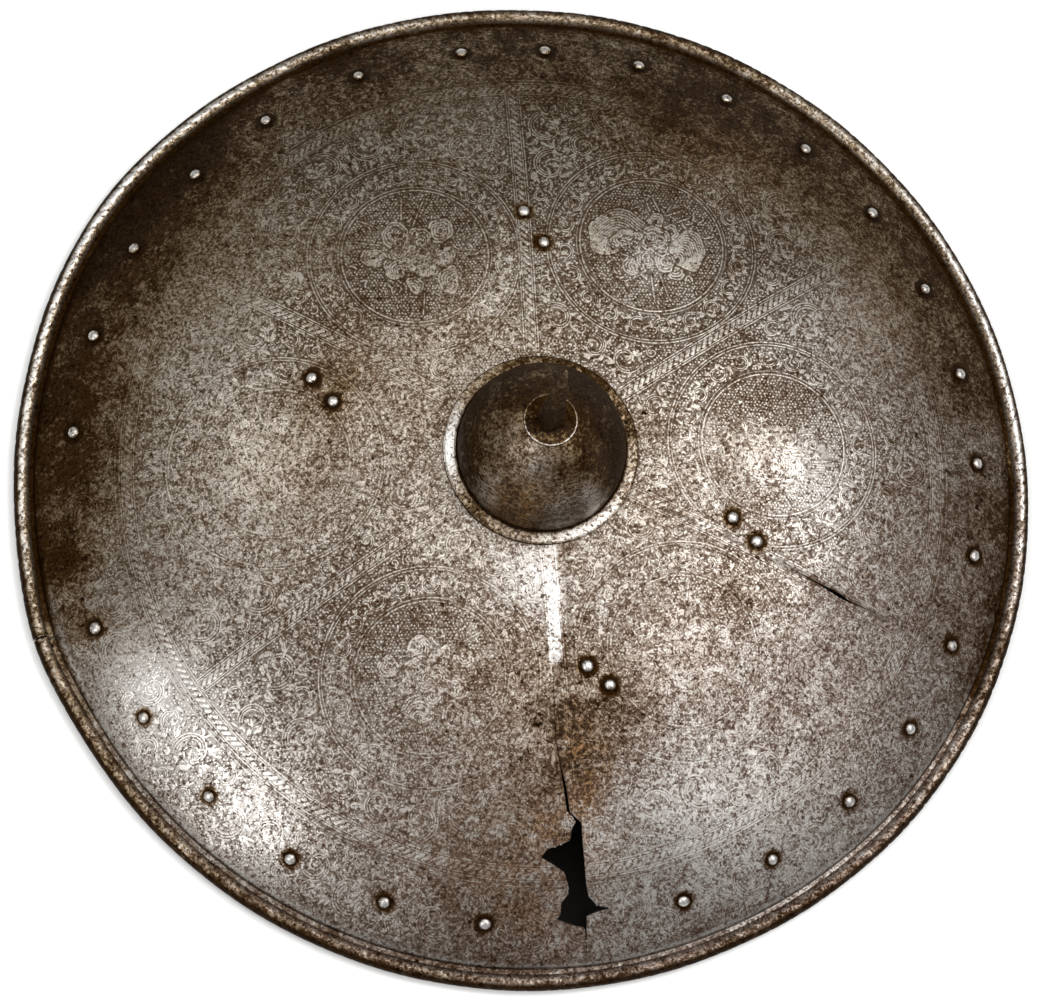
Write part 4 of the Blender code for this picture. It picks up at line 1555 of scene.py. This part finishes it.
    def trophy(self, place: Array, turn: float, motif: Motif) -> None:
        """Draw a trophy of arms.

        Args:
            place: The medallion's middle.
            turn: How far the drawing is turned.
            motif: Which trophy.
        """
        curls = polar(self.chance.uniform(1.0, 15.0, 6), 60.0 * np.arange(6.0)) + (3.0, -1.0)
        self.scrolls("medallions", place + turned(curls, turn), np.full(6, 4.6),
                     self.chance.uniform(0.0, 360.0, 6), np.resize((1.0, -1.0), 6), 3)
        forms = SHIELD_GROUP if motif is Motif.SHIELDS else self.heap()
        for form, x, y, half_width, half_height, lean in forms:
            spot = place + turned(np.array([x, y]), turn)
            outline = self.outline(turn + lean, (half_width, half_height), FORM_WAVES[form])
            if form is Form.SHELL:
                foot = outline[np.argmin(turned(outline, -turn - lean)[:, 1])]
                self.nested(spot, outline, 1.7, 1.45, 0.2, foot * 0.9)
            elif form is Form.TARGET:
                self.nested(spot, outline, 1.9, 1.6)
            else:
                self.nested(spot, outline, 1.75, 1.4, 1.0 - 2.6 / min(half_width, half_height))
                self.hatching(spot, turn + lean, (half_width - 3.0, half_height - 3.0), 1.35, 1.2)
        self.lances(place, turn, LANCES[motif])
        bases = place + polar(self.chance.uniform(8.0, 34.0, 60), self.chance.uniform(0.0, 360.0, 60))
        fan = self.chance.uniform(0.0, 6.3, (60, 1)) + np.linspace(-0.6, 0.8, 6)
        self.board.draw("medallions", headed(bases, fan, np.full(60, 5.0)), 1.2, exempt=0)

    def folds(self, place: Array) -> None:
        """Draw wavy folds across a medallion's middle, upright strokes before them, and small scrolls.

        Args:
            place: The medallion's middle.
        """
        self.hatching(place + (7.0, -13.0), 90.0, (6.5, 12.0), 1.5, 0.3)
        self.hatching(place + (-14.0, -10.0), 75.0, (6.0, 8.0), 1.7, 1.0)
        centres = place + ((-20, 3), (-6, 7), (9, 5), (22, 1), (-27, -5))
        self.scrolls("medallions", centres, np.full(5, 6.0), np.array([40.0, 100.0, 200.0, 310.0, 160.0]),
                     np.resize((1.0, -1.0), 5), 4)
        self.hatching(place + (0.0, -3.0), -6.0, (37.0, 17.0), 1.75, 3.5)

    def room(self, points: Array) -> Array:
        """Return how far ground points are from the nearest band, medallion, ring, rivet or edge.

        Args:
            points: The points.

        Returns:
            The distances.
        """
        radius = distance(points, (0.0, 0.0))
        ring = distance(points, RING_MIDDLE)
        room = np.minimum(np.minimum(radius - BAND_START - 1.0, ORNAMENT_END - 1.5 - radius),
                          np.where(ring < RING_RADIUS, RING_RADIUS - 5.0 - ring, ring - RING_RADIUS - 6.8))
        for bearing in BANDS:
            out, side = polar(1.0, bearing), polar(1.0, bearing + 90.0)
            close = (points @ out > 0.0) & (ring < RING_RADIUS)
            room = np.where(close, np.minimum(room, np.abs(points @ side) - 4.9), room)
        room = np.minimum(room, self.from_medallions(points) - self.ring_radius - 2.6)
        for rivet in self.board.rivets:
            room = np.minimum(room, distance(points, rivet) - SCROLL_CLEARANCE)
        return room

    def fill_with_scrolls(self) -> None:
        """Pack circles into what room is left, large ones first and snug, with a scroll in each."""
        step = np.arange(-ORNAMENT_END, ORNAMENT_END, 2.0)
        points = np.stack(np.meshgrid(step, step), axis=-1).reshape(-1, 2)
        points += self.chance.uniform(-0.6, 0.6, points.shape)
        room = self.room(points)
        points, room = points[room > self.scroll_sizes[-1]], room[room > self.scroll_sizes[-1]]
        for size in self.scroll_sizes:
            centres = []
            while (room >= size).any():
                best = int(np.argmin(np.where(room >= size, room, np.inf)))
                centres.append(points[best])
                room = np.minimum(room, distance(points, points[best]) - size)
            if centres:
                middles = np.array(centres)
                count = len(middles)
                hands = np.where(self.chance.random(count) < 0.5, -1.0, 1.0)
                group = "scrolls" if size > 7.5 else "sprigs"
                self.scrolls(group, middles, np.full(count, size * 1.04),
                             bearing_of(middles) + self.chance.uniform(-60.0, 60.0, count), hands,
                             round(2.0 + size * 0.55))

    def ground_dots(self) -> None:
        """Sprinkle the ground with dots, larger ones in the medallions' fields."""
        for pitch, radius, fields in ((1.95, 0.83, True), (1.87, 0.91, False)):
            across = np.arange(-ORNAMENT_END, ORNAMENT_END, pitch)
            up = np.arange(-ORNAMENT_END, ORNAMENT_END, pitch * 0.866)
            x, y = np.meshgrid(across, up)
            x[1::2] += pitch / 2.0
            points = np.stack([x, y], axis=-1).reshape(-1, 2)
            points += self.chance.uniform(-0.22, 0.22, points.shape) * pitch
            away = self.from_medallions(points)
            inside = away < self.field_radius - 1.2
            outer = (away > self.field_radius + 2.6) & (np.hypot(*points.T) < ORNAMENT_END - 1.0)
            self.board.sprinkle(points[inside if fields else outer], radius)


def shell(rings: Array, ring_section: bool = False) -> Mesh:
    """Join rings of points into a closed surface; the rings run downwards or outwards.

    Args:
        rings: Rings by points by three, each ring counter-clockwise from above.
        ring_section: Whether the last ring joins the first; otherwise both ends close on a pole.

    Returns:
        The points, the quads and the triangles.
    """
    rows, sides = rings.shape[:2]
    points = rings.reshape(-1, 3)
    if ring_section:
        return points, grid_quads(rows + 1, sides, True) % len(points), NO_FACES
    here = np.arange(sides)
    there = (here + 1) % sides
    top = np.stack([np.full(sides, len(points)), here, there], axis=-1)
    low = (rows - 1) * sides
    bottom = np.stack([np.full(sides, len(points) + 1), low + there, low + here], axis=-1)
    points = np.concatenate([points, rings[:1].mean(axis=1), rings[-1:].mean(axis=1)])
    return points, grid_quads(rows, sides, True), np.concatenate([top, bottom])


def turned_rings(profile: Array, sides: int, middle: Array) -> Array:
    """Turn a profile of radii and heights round an upright axis through a ground point."""
    turn = np.linspace(0.0, 360.0, sides, endpoint=False)
    return at_heights(polar(profile[:, :1], turn[None]) + middle, profile[:, 1])


def plain_fields(count: int, **fields: Array | float) -> dict[str, Array]:
    """Return a mesh's named values, 0 where they aren't given."""
    named = {"crisp": 0.0, "grime": 0.0, "gloss": 0.0, "rust": 0.0, "nick": 0.0, **fields}
    return {key: np.broadcast_to(np.asarray(value, dtype=float), (count,)) for key, value in named.items()}


@dataclass
class Boss:
    """The hollow domed boss with its flange and the cable etched on it."""

    dish: Dish
    radius: float = 54.0
    flange: float = 7.5
    sheet: float = 1.2
    seat: float = 14.7
    hole: float = 3.75
    sides: int = 128
    groove_pitch: float = 2.3
    groove_depth: float = 0.07
    droop: float = 0.42
    strokes: int = 72
    cable_radius: float = 50.6
    cable_reach: float = 2.1
    cable_lean: float = 2.6
    cable_rings: Pair = (48.1, 53.2)
    # Painted light on the dome: the first spots lighten its lower side, the second paint highlights round
    # its foot
    pale: Spots = spots(
        (-6, -24, 22, 0.65), (-26, -6, 16, 0.3), (27, -36, 10, 0.7), (10, -44, 8, 0.4), (-30, -32, 8, 0.4),
        (-2, 34, 12, 0.15))
    foot_light: Spots = spots(
        (30, -36, 7, 0.7), (12, -45, 7, 0.5), (-30, -33, 8, 0.45), (-10, -45, 7, 0.4))
    rusty: Spots = spots(
        (28, -14, 5, 1.3), (33, -22, 5, 1.3), (-8, -40, 8, 1.2), (-22, -34, 8, 0.7), (36, 14, 10, 0.4),
        (0, 20, 26, 0.3))

    def build(self, finish: Material, line_finish: Material) -> None:
        """Make the boss and the cable on its flange.

        The dome is an ellipse from the flange to the washer's seat; shallow grooves ripple its height
        as a cosine of the way up. The flange droops as the dish falls away under it.

        Args:
            finish: The boss's material.
            line_finish: The cable's material.
        """
        low, high = node_box("boss")
        base, rise, wall = low[2], high[2] - low[2], self.sheet
        foot = self.radius - self.flange
        last = math.acos(self.seat / foot)
        climb = (rise - wall) / math.sin(last)
        angle = np.linspace(last, 0.0, 110)
        way = np.abs(last - angle) * foot
        ripple = self.groove_depth * (np.cos(way * 2.0 * math.pi / self.groove_pitch) - 1.0)
        ripple *= smooth_step(way, 2.0, 8.0)
        dome = np.stack([(foot + ripple) * np.cos(angle), wall + climb * np.sin(angle)], axis=-1)
        out = np.linspace(0.0, 1.0, 12)
        top = np.stack([foot + 0.9 + (self.flange - 1.3) * out, wall - self.droop * out ** 2], axis=-1)
        edge = np.array([[self.radius - 0.12, wall - 0.52], [self.radius, wall - 0.8],
                         [self.radius - 0.05, -0.3], [self.radius - 0.3, -self.droop]])
        under = np.stack([foot + 6.4 * out[::-1], -self.droop * out[::-1] ** 2], axis=-1)
        inner_angle = np.linspace(0.0, last, 32)
        inside = np.stack([(foot - wall) * np.cos(inner_angle), climb * np.sin(inner_angle)], axis=-1)
        crown = [[self.hole, rise], [self.seat - 0.5, rise]]
        fillet, pit = [[foot + 0.35, wall + 0.5]], [[self.hole, rise - wall]]
        profile = np.concatenate([crown, dome, fillet, top, edge, under, inside, pit])
        profile[:, 1] += base
        rings = turned_rings(profile, self.sides, self.dish.middle)
        groove = np.zeros(len(profile))
        groove[len(crown):len(crown) + len(dome)] = bounded(-ripple / (2.0 * self.groove_depth))
        radii, heights = profile[:, 0], profile[:, 1] - base
        bearing = np.linspace(0.0, 360.0, self.sides, endpoint=False)
        flange = smooth_step(radii, foot + 0.3, foot + 1.0)
        seam = bell(radii - foot - 0.6, 0.7) * (heights < 4.0)
        rim = bell(radii - self.radius, 0.5)
        grime = (0.84 * (1.0 - flange))[:, None] + self.flange_dirt(bearing) * flange[:, None]
        shape = shell(rings, ring_section=True)
        points = shape[0]
        on_dome = np.repeat(1.0 - flange, self.sides)
        pale, foot_light, rust = (spread(soft, points[:, 0], points[:, 1])
                                  for soft in (self.pale, self.foot_light, self.rusty))
        grime = (grime + 0.7 * seam[:, None] + 0.5 * rim[:, None]).ravel()
        # The dome's lower side is lightened and its foot brightened, painted light; the flange's outer edge
        # is darker
        fields = plain_fields(
            len(points), grime=grime - np.minimum(pale, 0.7) * on_dome,
            gloss=np.outer(flange, self.flange_polish(bearing)).ravel() + foot_light * on_dome,
            nick=np.repeat(np.maximum(groove * 0.45, seam * 0.8), self.sides), rust=rust)
        add_piece("domed_boss", shape, (finish,), fields, None, "boss_steel", ("boss",))
        self.build_cable(line_finish, base)

    @staticmethod
    def flange_dirt(bearing: Array) -> Array:
        """Return how grimy the flange is at bearings: most at the top and the lower left."""
        top = 0.5 * bounded(np.cos(np.radians(bearing - 70.0)))
        return 0.22 + top + 0.4 * bell(turn_from(bearing, 222.0), 20.0)

    @staticmethod
    def flange_polish(bearing: Array) -> Array:
        """Return how polished the flange is at bearings, with a painted highlight: most at the left and the
        lower right.
        """
        return 0.9 * bell(bearing - 180.0, 22.0) + 0.55 * bell(bearing - 303.0, 24.0)

    def build_cable(self, finish: Material, base: float) -> None:
        """Lay slanting strokes between two fine rings on the flange; each stroke is a short S.

        Args:
            finish: Their material.
            base: The height of the flange's underside.
        """
        bearings = np.arange(self.strokes) * 360.0 / self.strokes
        t = np.linspace(-1.0, 1.0, 6)[None, :]
        lean = self.cable_lean * np.sin(t * math.pi / 2.0)
        strokes = polar(self.cable_radius + self.cable_reach * t, bearings[:, None] + lean)
        rings = np.stack([polar(radius, np.linspace(0.0, 360.0, 181)) for radius in self.cable_rings])
        middle = self.dish.middle

        def lift(ground: Array, above: Array) -> Array:
            """Carry ground points onto the flange.

            Args:
                ground: The points.
                above: How far each stands above it.

            Returns:
                The points in space.
            """
            share = bounded((distance(ground, middle) - self.radius + self.flange - 0.9) / 6.2)
            height = base + self.sheet - self.droop * share ** 2 + above
            return np.concatenate([ground, height[..., None]], axis=-1)

        swell = 2.3 * np.sin(np.linspace(0.35, math.pi - 0.35, 6))
        shape = join([
            ribbons(paths + middle, np.broadcast_to(width, paths.shape[:2]), crest,
                    np.ones(paths.shape[:2], bool), lift)
            for paths, width, crest in ((strokes, swell, 0.08), (rings, 0.6, 0.12))])
        points = shape[0]
        bearing = bearing_of(points[:, :2] - middle) % 360.0
        # How polished the flange is, with a painted highlight, at the left and the lower right
        polish = self.flange_polish(bearing)
        fields = plain_fields(len(points), crisp=0.3 + 0.5 * polish, gloss=polish, nick=points[:, 3],
                              grime=self.flange_dirt(bearing) - 0.3 * polish)
        add_piece("etched_boss_cable", shape, (finish,), fields, slot="boss_steel")


@dataclass
class SpikeWasher:
    """The round washer under the spike, with a shallow ring turned in it."""

    dish: Dish
    radius: float = 14.7
    hole: float = 3.75
    ring: float = 9.4
    soft_edge: float = 0.6
    sides: int = 96

    def build(self, finish: Material) -> None:
        """Turn the washer's rounded section, whose top dips in a bell at the ring.

        Args:
            finish: Its material.
        """
        low, high = node_box("spike_washer")
        thick = high[2] - low[2]
        flat = self.radius - self.soft_edge
        across = np.linspace(self.hole, flat, 30)
        dip = 0.16 * bell(across - self.ring, 0.5)
        top = np.stack([across, thick - dip], axis=-1)
        turn = np.radians(np.linspace(80.0, -90.0, 8))
        edge = np.stack([flat + self.soft_edge * np.cos(turn), thick / 2.0 * (1.0 + np.sin(turn))], axis=-1)
        profile = np.concatenate([top, edge, [[self.hole, 0.0]]])
        profile[:, 1] += low[2]
        rings = turned_rings(profile, self.sides, self.dish.middle)
        shape = shell(rings, ring_section=True)
        points = shape[0]
        radius = distance(points, self.dish.middle)
        down = self.dish.middle[1] - points[:, 1]
        # A painted highlight along the washer's edge, stronger towards the lower side; towards the lower
        # side it is also less grimy and rustier
        edge_light = bell(radius - self.radius + 0.5, 0.42)
        edge_light *= 0.55 + 0.45 * smooth_step(down, -8.0, 8.0)
        lower = smooth_step(down, -2.0, 10.0)
        fields = plain_fields(
            len(points), grime=bounded(0.95 - 0.9 * edge_light - 0.25 * lower),
            gloss=0.5 * edge_light, rust=bounded(0.8 * lower * (1.0 - edge_light)),
            nick=0.6 * bell(radius - self.ring, 0.5))
        add_piece("turned_washer", shape, (finish,), fields, None, "washer_steel", ("spike_washer",))


@dataclass
class Spike:
    """The four-sided spike, forged in one with its tang, which is peened over inside the dish."""

    dish: Dish
    length: float = 87.0
    base: float = 12.5
    tip: float = 1.4
    turn: float = 20.0
    tang: float = 6.8
    sides: int = 48

    def build(self, finish: Material) -> None:
        """Carry a section from the tip down to the peened head.

        The section is a superellipse: half the width over the eighth root of the eighth powers of
        cosine and sine for the spike, and a circle for the tang. Hammering moves the faces a little.

        Args:
            finish: Its material.
        """
        low, high = node_box("spike")
        foot = high[2] - self.length
        share = np.concatenate([[0.0, 0.004, 0.012], np.linspace(0.03, 1.0, 60)])
        half = (self.tip + (self.base - self.tip) * share ** 0.97) / 2.0
        half[:3] *= (0.3, 0.72, 0.92)
        spike = np.stack([half, high[2] - self.length * share, np.full(len(share), 8.0)], axis=-1)
        seat, tang = foot - 0.15, self.tang / 2.0
        behind = low[2] + 2.4
        stem = np.array([
            [half[-1] * 0.97, seat, 8], [tang + 0.1, seat - 0.05, 4], [tang, seat - 0.2, 2],
            [tang, behind + 0.1, 2], [tang, behind, 2], [5.9, behind, 2], [6.4, behind - 0.4, 2],
            [6.3, behind - 1.1, 2], [5.2, behind - 1.9, 2], [3, low[2] + 0.1, 2],
            [1, low[2], 2]])
        rows = np.concatenate([spike, stem])
        bearing = np.radians(np.linspace(0.0, 360.0, self.sides, endpoint=False))[None]
        reach, level, power = rows[:, :1], rows[:, 1:2], rows[:, 2:]
        squareness = np.abs(np.cos(bearing)) ** power + np.abs(np.sin(bearing)) ** power
        reach = reach / squareness ** (1.0 / power)
        hammered = 1.0 + 0.018 * np.sin(level * 0.31 + 3.0 * bearing) * np.sin(level * 0.83 + 1.0)
        flat = polar(reach * hammered, np.degrees(bearing) + self.turn) + self.dish.middle
        shape = shell(at_heights(flat, rows[:, 1]))
        points = shape[0]
        up = points[:, 2] - foot
        peened = smooth_step(-points[:, 2], 0.8 - behind, 1.9 - behind)
        fields = plain_fields(len(points), rust=0.35 * smooth_step(up, 0.0, 30.0),
                              grime=0.8 - 0.25 * smooth_step(up, 20.0, 80.0) - 0.5 * peened,
                              gloss=0.15 * smooth_step(up, 30.0, 80.0))
        add_piece("forged_spike", shape, (finish,), fields, None, "spike_steel", ("spike",))


@dataclass
class Rivets:
    """The domed rivets: the ring that held the lining, and four pairs that held the arm straps."""

    dish: Dish
    head: float = 3.4
    height: float = 2.5
    shank: float = 1.5
    tail: float = 2.4
    tail_height: float = 1.0
    sides: int = 20

    def __post_init__(self) -> None:
        """Find the rivets' seats from their nodes."""
        self.nodes = sorted(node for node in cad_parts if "_rivet_" in node)
        boxes = np.array([node_box(node) for node in self.nodes])
        ground = boxes[:, :, :2].mean(axis=1)
        self.seats = self.dish.lift(ground)
        self.normals = self.dish.normal(ground[:, 0], ground[:, 1])

    def profile(self, head: float, height: float) -> Array:
        """Return radii and heights from the head's top to the tail's: two flattened domes on a shank.

        Args:
            head: The head's radius.
            height: The head's height.

        Returns:
            The profile, from the top down.
        """
        dome = np.radians(np.linspace(8.0, 84.0, 8))
        top = np.stack([head * np.sin(dome), height * np.cos(dome) ** 0.85], axis=-1)
        under = -self.dish.sheet - 0.2
        foot = np.array([[head, 0.12], [head - 0.1, -0.05], [self.shank, -0.05], [self.shank, under],
                         [self.tail, under]])
        low = np.radians(np.linspace(75.0, 12.0, 4))
        tail = np.stack([self.tail * np.sin(low), under - self.tail_height * np.cos(low)], axis=-1)
        return np.concatenate([top, foot, tail])

    def build(self, finish: Material) -> None:
        """Make each rivet on its own seat, a little unlike the others.

        Args:
            finish: Their material.
        """
        chance = np.random.default_rng(27)
        turn = np.radians(np.linspace(0.0, 360.0, self.sides, endpoint=False))
        for node, seat, normal in zip(self.nodes, self.seats, self.normals):
            size, rise, phase, oval = chance.uniform((0.95, 0.88, 0.0, 0.0), (1.06, 1.04, 6.28, 0.05))
            profile = self.profile(self.head * size, self.height * rise)
            side = np.cross((0.0, 1.0, 0.0), normal)
            side /= np.linalg.norm(side)
            up = np.cross(normal, side)
            wobble = 1.0 + oval * np.cos(2.0 * turn + phase) + 0.015 * np.cos(5.0 * turn + 2.0 * phase)
            around = (side * np.cos(turn)[:, None] + up * np.sin(turn)[:, None]) * wobble[:, None]
            rings = seat + profile[:, :1, None] * around + profile[:, 1:, None] * normal
            shape = shell(rings)
            points = shape[0]
            # The head's top is brighter, a painted highlight on wear; its foot is darker, grimy deposit with
            # painted shade
            above = (points - seat) @ normal
            rubbed = smooth_step(above, 0.1, 1.5) + 0.7 * smooth_step(-above, self.dish.sheet + 0.4, 2.5)
            fields = plain_fields(len(points), grime=0.75 * (1.0 - rubbed) + 0.08,
                                  gloss=smooth_step(above, 1.3, 2.2) * 0.8)
            add_piece(f"worn_{node}", shape, (finish,), fields, None, "rivet_steel", (node,))


@dataclass
class Studio:
    """The pale floor, the soft lights and the camera."""

    camera_place: tuple[float, float, float] = (-153.5, -502.2, 1826.0)
    camera_aim: tuple[float, float, float] = (-3.93, -10.2, 0.0)
    focal_length: float = 3325.9
    image_width: float = 1039.0
    floor_half: float = 4000.0
    surrounding: float = 0.45
    lamps: tuple[tuple[str, tuple[float, float, float], float, float], ...] = (
        ("overhead", (420, 150, 2600), 2500, 32),
        ("lower_left", (-1500, -1250, 1700), 1000, 17),
        ("right", (1220, 410, 2300), 850, 19),
        ("left", (-1250, 700, 2300), 700, 8),
        ("lower_right", (1650, -1000, 2100), 900, 9.2))

    def build(self) -> None:
        """Make them all."""
        self.floor()
        self.lights()
        self.camera()

    def floor(self) -> None:
        """Lay a flat floor under the rim, plain and pale, with a painted shadow: near black in a disc where
        the shield covers it.
        """
        material = bpy.data.materials.new("pale_floor")
        material.use_nodes = True
        graph = Graph(material.node_tree)
        shader = material.node_tree.nodes["Principled BSDF"]
        place = graph.place()
        cloud = graph.mix(graph.noise(place, 1.5, 2.0), (0.86, 0.86, 0.85), (0.9, 0.9, 0.89))
        # Painted shadow: the floor's colour goes near black inside a disc of about 0.27 m under the shield
        hidden = graph.step(graph.vector("LENGTH", place)["Value"], 0.262, 0.275)
        graph.fill(shader.inputs, {"Base Color": graph.mix(hidden, (0.02, 0.018, 0.016), cloud),
                                   "Roughness": 0.9, "Specular IOR Level": 0.0})
        half, low = self.floor_half, -0.3
        corners = np.array([[-half, -half, low], [half, -half, low], [half, half, low], [-half, half, low]])
        add_piece("floor", (corners, np.array([[0, 1, 2, 3]]), NO_FACES), (material,))

    def lights(self) -> None:
        """Hang large soft lights and set a dim, even surrounding."""
        world = bpy.data.worlds.new("studio")
        world.use_nodes = True
        background = world.node_tree.nodes["Background"]
        background.inputs["Color"].default_value = (1.0, 1.0, 1.0, 1.0)
        background.inputs["Strength"].default_value = self.surrounding
        bpy.context.scene.world = world
        bpy.context.scene.view_settings.view_transform = "Standard"
        for name, place, size, power in self.lamps:
            light = bpy.data.lights.new(name, "AREA")
            light.shape = "DISK"
            light.size = size * MM
            light.energy = power
            lamp = bpy.data.objects.new(name, light)
            lamp.location = Vector(place) * MM
            lamp.rotation_euler = (-lamp.location).to_track_quat("-Z", "Y").to_euler()
            bpy.context.collection.objects.link(lamp)

    def camera(self) -> None:
        """Set the camera where the photograph was taken from; the image's up is the ground's +Y."""
        lens = bpy.data.cameras.new("camera")
        lens.sensor_width = 36.0
        lens.lens = self.focal_length / self.image_width * lens.sensor_width
        lens.clip_end = 50.0
        camera = bpy.data.objects.new("camera", lens)
        place = Vector(self.camera_place) * MM
        back = (place - Vector(self.camera_aim) * MM).normalized()
        right = Vector((0.0, 1.0, 0.0)).cross(back).normalized()
        turn = Matrix((right, back.cross(right), back)).transposed()
        camera.matrix_world = Matrix.Translation(place) @ turn.to_4x4()
        bpy.context.collection.objects.link(camera)
        bpy.context.scene.camera = camera


def main() -> None:
    """Build the shield and the studio, piece by piece."""
    logging.basicConfig(level=logging.INFO, format="%(message)s")
    Studio().build()
    dish, places = Dish(), Places()
    rivets = Rivets(dish)
    old_steel = old_steel_group()
    marks = {"dirt": near_points_group(rivets.seats), "scars": strokes_group("scars", SCARS, 1.4),
             "burnished": strokes_group("burnished", BURNISHED, 2.0)}
    plate, inside, lines, edge, rim, boss, small = (finish.material(old_steel) for finish in (
        SteelFinish("etched_plate", ground=0.9, **marks),
        SteelFinish("plate_inside", grime=0.8, rust=0.25, from_mesh=False, bump=0.5),
        SteelFinish("etched_lines", grime=-0.1, crisp_gloss=0.12, bump=0.15, outline=0.8, **marks),
        SteelFinish("broken_edge", grime=0.1, gloss=0.35, from_mesh=False),
        SteelFinish("rim_steel", nicked=True, gloss=0.1),
        SteelFinish("boss_steel", nicked=True, bump=0.2),
        SteelFinish("fittings_steel", nicked=True, bump=0.2)))
    dish.build((plate, inside, edge), places)
    RolledRim(dish).build((rim, inside, edge))
    board = Engraving(dish, places, rivets.seats[:, :2])
    Ornament(board).lay_out()
    for group in board.lines:
        board.build_lines(group, lines)
    board.build_dots(lines)
    Boss(dish).build(boss, lines)
    SpikeWasher(dish).build(small)
    Spike(dish).build(small)
    rivets.build(small)


if __name__ == "__main__":
    main()
